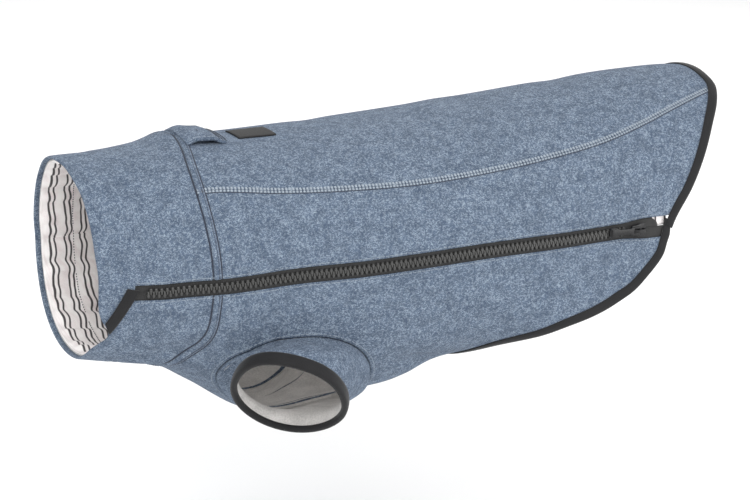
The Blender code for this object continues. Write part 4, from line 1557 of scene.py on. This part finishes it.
def casting(name, shapes, matrix):
    """One enamelled piece of several shapes, with their sharp edges kept."""
    whole = bmesh.new()
    for shape in shapes:
        held = bpy.data.meshes.new("held")
        shape.to_mesh(held)
        shape.free()
        whole.from_mesh(held)
        bpy.data.meshes.remove(held)
    whole.transform(matrix)
    mesh = bpy.data.meshes.new(name)
    whole.to_mesh(mesh)
    whole.free()
    mesh.shade_smooth()
    mesh.set_sharp_from_angle(angle=np.radians(50))
    return new_piece(name, mesh, "glossy_enamel")


def arch(half_length, height, half_width, base, thick):
    """Bridge over the slider's plate that holds the pull tab."""
    shape = bmesh.new()
    steps = 14
    rings = []
    for i in range(steps + 1):
        t = np.pi * i / steps
        x = -half_length * np.cos(t)
        z = base + height * np.sin(t) ** 0.6
        nx, nz = -np.cos(t), np.sin(t)
        ring = [
            shape.verts.new(((x + nx * d) * MM, y * MM, (z + nz * d) * MM))
            for d, y in (
                (0, -half_width), (0, half_width), (thick, half_width), (thick, -half_width)
            )
        ]
        rings.append(ring)
    for here, after in zip(rings, rings[1:]):
        for k in range(4):
            shape.faces.new((here[k], here[(k + 1) % 4], after[(k + 1) % 4], after[k]))
    shape.faces.new(rings[0][::-1])
    shape.faces.new(rings[-1])
    bmesh.ops.recalc_face_normals(shape, faces=shape.faces)
    return shape


SLIDER_OUTLINE = (
    (-5.6, 2.4), (-5.0, 3.0), (-1.5, 3.3), (1.0, 4.0), (4.2, 4.3), (5.4, 3.6), (5.7, 2.2),
)
PULL_BAR = ((0.6, 2.5), (-0.6, 2.5))
PULL_BODY = (
    (-4.4, 2.5), (-5.8, 2.45), (-7.5, 1.8), (-15.3, 1.8), (-17.2, 3.0), (-21.0, 3.2), (-22.5, 1.9),
)


class SWEATER_OT_slider(bpy.types.Operator):
    """Cast the slider and its pull tab"""

    bl_idname = "sweater.slider"
    bl_label = "Slider and pull tab"

    def execute(self, context):
        x = np.array([SLIDER_STATION])
        origin, tailwards, spinewards, out = (v[0] for v in zip_frames(x))
        matrix = placed(origin, tailwards, spinewards, out)
        shapes = [
            plate(SLIDER_OUTLINE, 1.6, 2.8, 0.4),
            plate([(-x, y) for x, y in reversed(SLIDER_OUTLINE)], -3.2, -2.2, 0.3),
            plate(((2.6, 0.8), (5.2, 0.8)), -2.9, 2.1, 0.2),
            arch(3.7, 2.7, 1.0, 2.6, 0.8),
        ]
        for side in (-1, 1):
            rail = plate(((-4.9, 0.35), (4.4, 0.35)), 0.7, 2.0, 0.2)
            turn = Matrix.Rotation(np.radians(7.5 * side), 4, "Z")
            rail.transform(Matrix.Translation((0, side * 3.2 * MM, 0)) @ turn)
            shapes.append(rail)
        slider = casting("slider_casting", shapes, matrix)
        settle(slider, "black_enamel", ["zip_slider"])
        hinge = Vector(HINGE["pos_m"])
        tilt = Matrix.Rotation(np.radians(-5.0), 4, "Y")
        matrix = placed(hinge, tailwards, spinewards, out) @ tilt
        arms = []
        for side in (-1, 1):
            arm = plate(((-4.6, 0.58), (0.3, 0.58)), -0.55, 0.55, 0.2)
            bmesh.ops.translate(arm, vec=(0, side * 1.92 * MM, 0), verts=arm.verts)
            arms.append(arm)
        pull = casting("pull_tab_casting", [
            plate(PULL_BAR, -0.55, 0.55, 0.25),
            *arms,
            plate(PULL_BODY, -0.6, 0.6, 0.3),
            plate(((-17.4, 2.4), (-21.4, 2.4)), -0.9, 1.2, 0.5),
        ], matrix)
        settle(pull, "black_enamel", ["zip_pull_tab"], "pull_tab")
        return {"FINISHED"}


# ---- Loop tab and patch on the back ----


TRIM_ANGLE = 1.5
TAB_WIDTH, PATCH_WIDTH = 33 * MM, 20 * MM
# How far the tab runs on over the seam's allowance, in front of its solid
TAB_TUCK = 3.5 * MM


def tab_points(u, v, lift=0.0):
    """Face of the arched tab. u runs 0 to 1 tailwards and v from -0.5 to 0.5 towards the left."""
    low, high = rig.box("loop_tab")
    x = low.x - TAB_TUCK + (high.x - low.x + TAB_TUCK) * u
    angle = TRIM_ANGLE + degrees_for(TAB_WIDTH, x, 0 * x) * v
    rise = 2.7 * MM * ramp_up(u, 0, 0.28) * (1 - ramp_up(u, 0.68, 0.95))
    rounded = 0.5 * MM * ramp_up(np.abs(v), 0.4, 0.5) + 0.6 * MM * (1 - ramp_up(u, 0, 0.12))
    return skin(x, angle, 2.2 * MM + rise - rounded + lift)


class SWEATER_OT_back_trim(bpy.types.Operator):
    """Sew on the arched loop tab and the bare patch"""

    bl_idname = "sweater.back_trim"
    bl_label = "Loop tab and patch"

    def execute(self, context):
        u, v = np.meshgrid(np.linspace(0, 1, 25), np.linspace(-0.5, 0.5, 19), indexing="ij")
        points = tab_points(u, v)
        sew(
            "loop_tab_cloth", points, flat_uv(points, (0.3, 0.9)), TAB_WALL,
            ("heathered_knit", "heathered_knit"), "blue_knit", "loop_tab", "folded",
        )
        low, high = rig.box("back_patch")
        u, v = np.meshgrid(np.linspace(0, 1, 14), np.linspace(-0.5, 0.5, 13), indexing="ij")
        x = low.x + (high.x - low.x) * u
        angle = TRIM_ANGLE + degrees_for(PATCH_WIDTH, x, 0 * x) * v
        pressed = sum(-0.25 * MM * np.exp(-(((u - at) / 0.05) ** 2)) for at in (0.10, 0.90))
        points = skin(x, angle, 1.1 * MM + pressed)
        sew(
            "back_patch_cloth", points, flat_uv(points), TRIM_WALL, ("pressed_patch",),
            "bare_patch", "back_patch", "laid",
        )
        return {"FINISHED"}


# ---- Stitching ----


def panel_line(line, count=900):
    """Places along a seam between panels, from the collar's seam to the hem's binding."""
    x = np.linspace(-176 * MM, 190 * MM, count)  # a first guess
    for _ in range(6):
        angle = line(x)
        start, end = edge("collar_seam", angle), edge("hem", angle) - 6.5 * MM
        x = start + (end - start) * np.linspace(0, 1, count)
    return x, line(x)


# Rows of a flat seam's rungs: distance from the seam, rung length, rung thickness
FLAT_SEAM_ROWS = ((-1.2 * MM, 2.0 * MM, 1.7 * MM), (0.75 * MM, 1.5 * MM, 1.8 * MM))
RUNG_SLANT = 0.22


def flat_seam(line, sign):
    """Two rows of rungs of thread along a seam. sign is +1 where the first row lies to the left."""
    places, ways, outs = frames_along(*cloth_line(*panel_line(line)), sizes().ladder_step)
    asides = np.cross(outs, ways) * sign
    slanted = unit(asides + RUNG_SLANT * ways)
    return [
        stitch_mesh(places + asides * away + outs * 0.05 * MM, slanted, outs, long, thick, 0.35)
        for away, long, thick in FLAT_SEAM_ROWS
    ]


def flat_seam_edge(line, sign):
    """Dark thread line beside a flat seam's second row: painted shade of the groove there."""
    points, outs = cloth_line(*panel_line(line))
    asides = np.cross(outs, unit(np.gradient(points, axis=0))) * sign
    return cord(points + asides * 1.8 * MM, outs, 0.05 * MM, 0.6 * MM)


# Lines of the flat seams, and the side on which each has its first row
FLAT_SEAMS = (
    (seam_line("back_seam", 1), -1), (seam_line("back_seam", -1), 1), (seam_line("zip_line", -1), 1),
)


def armhole_lines(inset):
    """The armholes' seams, or lines this far outside them: points and outward directions."""
    points, outs = cloth_line(*armhole_place(np.linspace(0, 360, 700), -inset))
    return [(points * (1, flip, 1), outs * (1, flip, 1)) for flip in (1, -1)]


def ring_line(distance, column):
    """Line round the body, this far towards the tail from a seam or rim."""
    x = edge(column, ZIP_NEAR) + distance
    away = zip_spread(x) + 0.6 * MM
    angles = np.linspace(zip_angle(x, away), zip_angle(x, -away) + 360, 900)
    return cloth_line(edge(column, angles) + distance, angles)


class SWEATER_OT_stitching(bpy.types.Operator):
    """Sew the seams"""

    bl_idname = "sweater.stitching"
    bl_label = "Stitching"

    def execute(self, context):
        rungs = [mesh for seam in FLAT_SEAMS for mesh in flat_seam(*seam)]
        stitched("flat_seam_thread", rungs, "light_thread")
        fine = []
        for side in (-1, 1):
            x = np.linspace(-219 * MM, 122 * MM, 900)
            across = side * (zip_spread(x) + 1.3 * MM)
            fine.append(topstitch(*cloth_line(x, zip_angle(x, across)), 0.1 * MM))
        stitched("zip_side_stitches", fine, "light_thread")
        armhole = [topstitch(*ring, MM) for ring in armhole_lines(ARMHOLE_WELT + SEAM_EDGE)]
        stitched("armhole_stitches", armhole, "light_thread")
        blue = [
            topstitch(*ring_line(1.4 * MM, "collar_seam"), 0.4 * MM),
            topstitch(*ring_line(4.1 * MM, "collar_seam"), 0.55 * MM, thick=0.6 * MM),
        ]
        blue += [topstitch(*ring_line(at, "rim"), -0.2 * MM) for at in (22 * MM, 25 * MM)]
        stitched("collar_seam_stitches", blue, "blue_thread")
        points, outs = ring_line(24 * MM, "rim")
        inside = topstitch(points, -outs, 5.3 * MM, 0.9 * MM, 0.9 * MM, 0.7 * MM)
        stitched("lining_stitches", [inside], "navy_thread", "striped_lining")
        # Dark cords: painted shade in the collar seam's ditch, and at 3.3 and 4.9 mm both navy thread and painted
        # shade of the grooves beside the blue topstitch
        sunk = [
            cord(*ring_line(0.0, "collar_seam"), -0.6 * MM, 1.1 * MM),
            cord(*ring_line(3.3 * MM, "collar_seam"), 0.4 * MM, 0.55 * MM),
            cord(*ring_line(4.9 * MM, "collar_seam"), 0.05 * MM, 0.75 * MM),
        ]
        # Painted shade: dark cords in the armholes' ditches, and beside the flat seams
        sunk += [cord(*ring, -0.75 * MM, 0.8 * MM) for ring in armhole_lines(0.0)]
        sunk += [flat_seam_edge(*seam) for seam in FLAT_SEAMS]
        stitched("sunk_thread", sunk, "navy_thread")
        run, still = np.linspace(0.04, 0.97, 200), np.ones(200)
        up = np.repeat([[0.0, -0.25, 0.97]], 200, axis=0)
        # Light thread along the tab's arched near edge: stitching, and also a painted highlight where the folded edge
        # catches the light
        lit_edge_line = tab_points(run, 0.455 * still, 0.05 * MM)
        stitched("loop_tab_edge", [topstitch(lit_edge_line, up)], "light_thread")
        half = np.linspace(-0.48, 0.48, 200)
        tab = [
            cord(tab_points(at * still, half), up, 0.2 * MM, 0.6 * MM) for at in (0.82, 0.92, 0.995)
        ]
        mark = tab_points(0.45 * still, np.linspace(0.06, 0.14, 200))
        tab.append(cord(mark, up, 0.1 * MM, 0.9 * MM))
        stitched("loop_tab_stitches", tab, "navy_thread")
        return {"FINISHED"}


# ---- Stage ----

# Metres, degrees and, for the sensor and the lens, mm
CAMERA = {
    "target": (-0.035, 0.0, -0.0864), "azimuth": -27.0, "elevation": 15.0, "distance": 1.7,
    "sensor": 36.0, "lens": 130.56,
}
FLOOR_HALF, FLOOR_DROP = 6.0, 0.10
# Name, place, size across and power
LAMPS = (
    ("key", (-0.9, -1.6, 1.3), 1.6, 30.0),
    ("fill", (1.3, -1.5, 0.3), 1.4, 14.0),
    ("top", (0.0, 0.3, 1.9), 1.8, 9.0),
    ("rear", (0.6, 1.6, 0.8), 1.4, 7.0),
)
SKY_STRENGTH = 0.75

class SWEATER_OT_stage(bpy.types.Operator):
    """Set the floor, the lights and the camera"""

    bl_idname = "sweater.stage"
    bl_label = "Stage, lights and camera"

    def execute(self, context):
        scene = context.scene
        floor_mesh = bpy.data.meshes.new("floor")
        half, level = FLOOR_HALF, CAD_LOW.z - FLOOR_DROP
        floor_mesh.from_pydata(
            [(-half, -half, level), (half, -half, level), (half, half, level), (-half, half, level)],
            [], [(0, 1, 2, 3)],
        )
        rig.stage(new_piece("floor", floor_mesh, "studio_floor"))
        target = Vector(CAMERA["target"])
        azimuth, elevation = np.radians(CAMERA["azimuth"]), np.radians(CAMERA["elevation"])
        back = Vector((
            np.sin(azimuth) * np.cos(elevation), -np.cos(azimuth) * np.cos(elevation),
            np.sin(elevation),
        ))
        camera_data = bpy.data.cameras.new("camera")
        camera_data.sensor_width = CAMERA["sensor"]
        camera_data.lens = CAMERA["lens"]
        camera = bpy.data.objects.new("camera", camera_data)
        scene.collection.objects.link(camera)
        camera.location = target + back * CAMERA["distance"]
        camera.rotation_euler = (-back).to_track_quat("-Z", "Y").to_euler()
        scene.camera = camera
        for name, place, size, power in LAMPS:
            lamp_data = bpy.data.lights.new(name, "AREA")
            lamp_data.shape = "DISK"
            lamp_data.size = size
            lamp_data.energy = power
            lamp = bpy.data.objects.new(name, lamp_data)
            scene.collection.objects.link(lamp)
            lamp.location = place
            lamp.rotation_euler = (target - Vector(place)).to_track_quat("-Z", "Y").to_euler()
        world = bpy.data.worlds.new("studio")
        scene.world = world
        world.use_nodes = True
        sky = world.node_tree.nodes["Background"]
        sky.inputs["Color"].default_value = (1, 1, 1, 1)
        sky.inputs["Strength"].default_value = SKY_STRENGTH
        scene.view_settings.view_transform = "Standard"
        return {"FINISHED"}


# ---- Add-on ----

OPERATORS = (
    SWEATER_OT_stage, SWEATER_OT_body, SWEATER_OT_sleeves, SWEATER_OT_collar,
    SWEATER_OT_bindings, SWEATER_OT_zip, SWEATER_OT_slider, SWEATER_OT_back_trim,
    SWEATER_OT_stitching,
)


class SWEATER_PT_panel(bpy.types.Panel):
    """Sizes, colours and the steps that dress the sweater"""

    bl_idname = "SWEATER_PT_panel"
    bl_label = "Dog Sweater"
    bl_space_type = "VIEW_3D"
    bl_region_type = "UI"
    bl_category = "Sweater"

    def draw(self, context):
        layout = self.layout
        for group in (context.scene.sweater_sizes, context.scene.sweater_colours):
            box = layout.box()
            for name in group.__annotations__:
                box.prop(group, name)
        for operator in OPERATORS:
            layout.operator(operator.bl_idname)


CLASSES = (SweaterSizes, SweaterColours, *OPERATORS, SWEATER_PT_panel)


def register():
    for cls in CLASSES:
        bpy.utils.register_class(cls)
    bpy.types.Scene.sweater_sizes = PointerProperty(type=SweaterSizes)
    bpy.types.Scene.sweater_colours = PointerProperty(type=SweaterColours)


def unregister():
    del bpy.types.Scene.sweater_colours
    del bpy.types.Scene.sweater_sizes
    for cls in reversed(CLASSES):
        bpy.utils.unregister_class(cls)


def main():
    register()
    bpy.ops.sweater.stage()
    bpy.ops.sweater.body()
    bpy.ops.sweater.sleeves()
    bpy.ops.sweater.collar()
    bpy.ops.sweater.bindings()
    bpy.ops.sweater.zip()
    bpy.ops.sweater.slider()
    bpy.ops.sweater.back_trim()
    bpy.ops.sweater.stitching()
    declare_sheets()
    low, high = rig.bounds()
    with open("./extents.json", "w") as file:
        json.dump({
            "cad": [list(CAD_LOW), list(CAD_HIGH)], "visual": [list(low), list(high)],
        }, file)


if __name__ == "__main__":
    main()
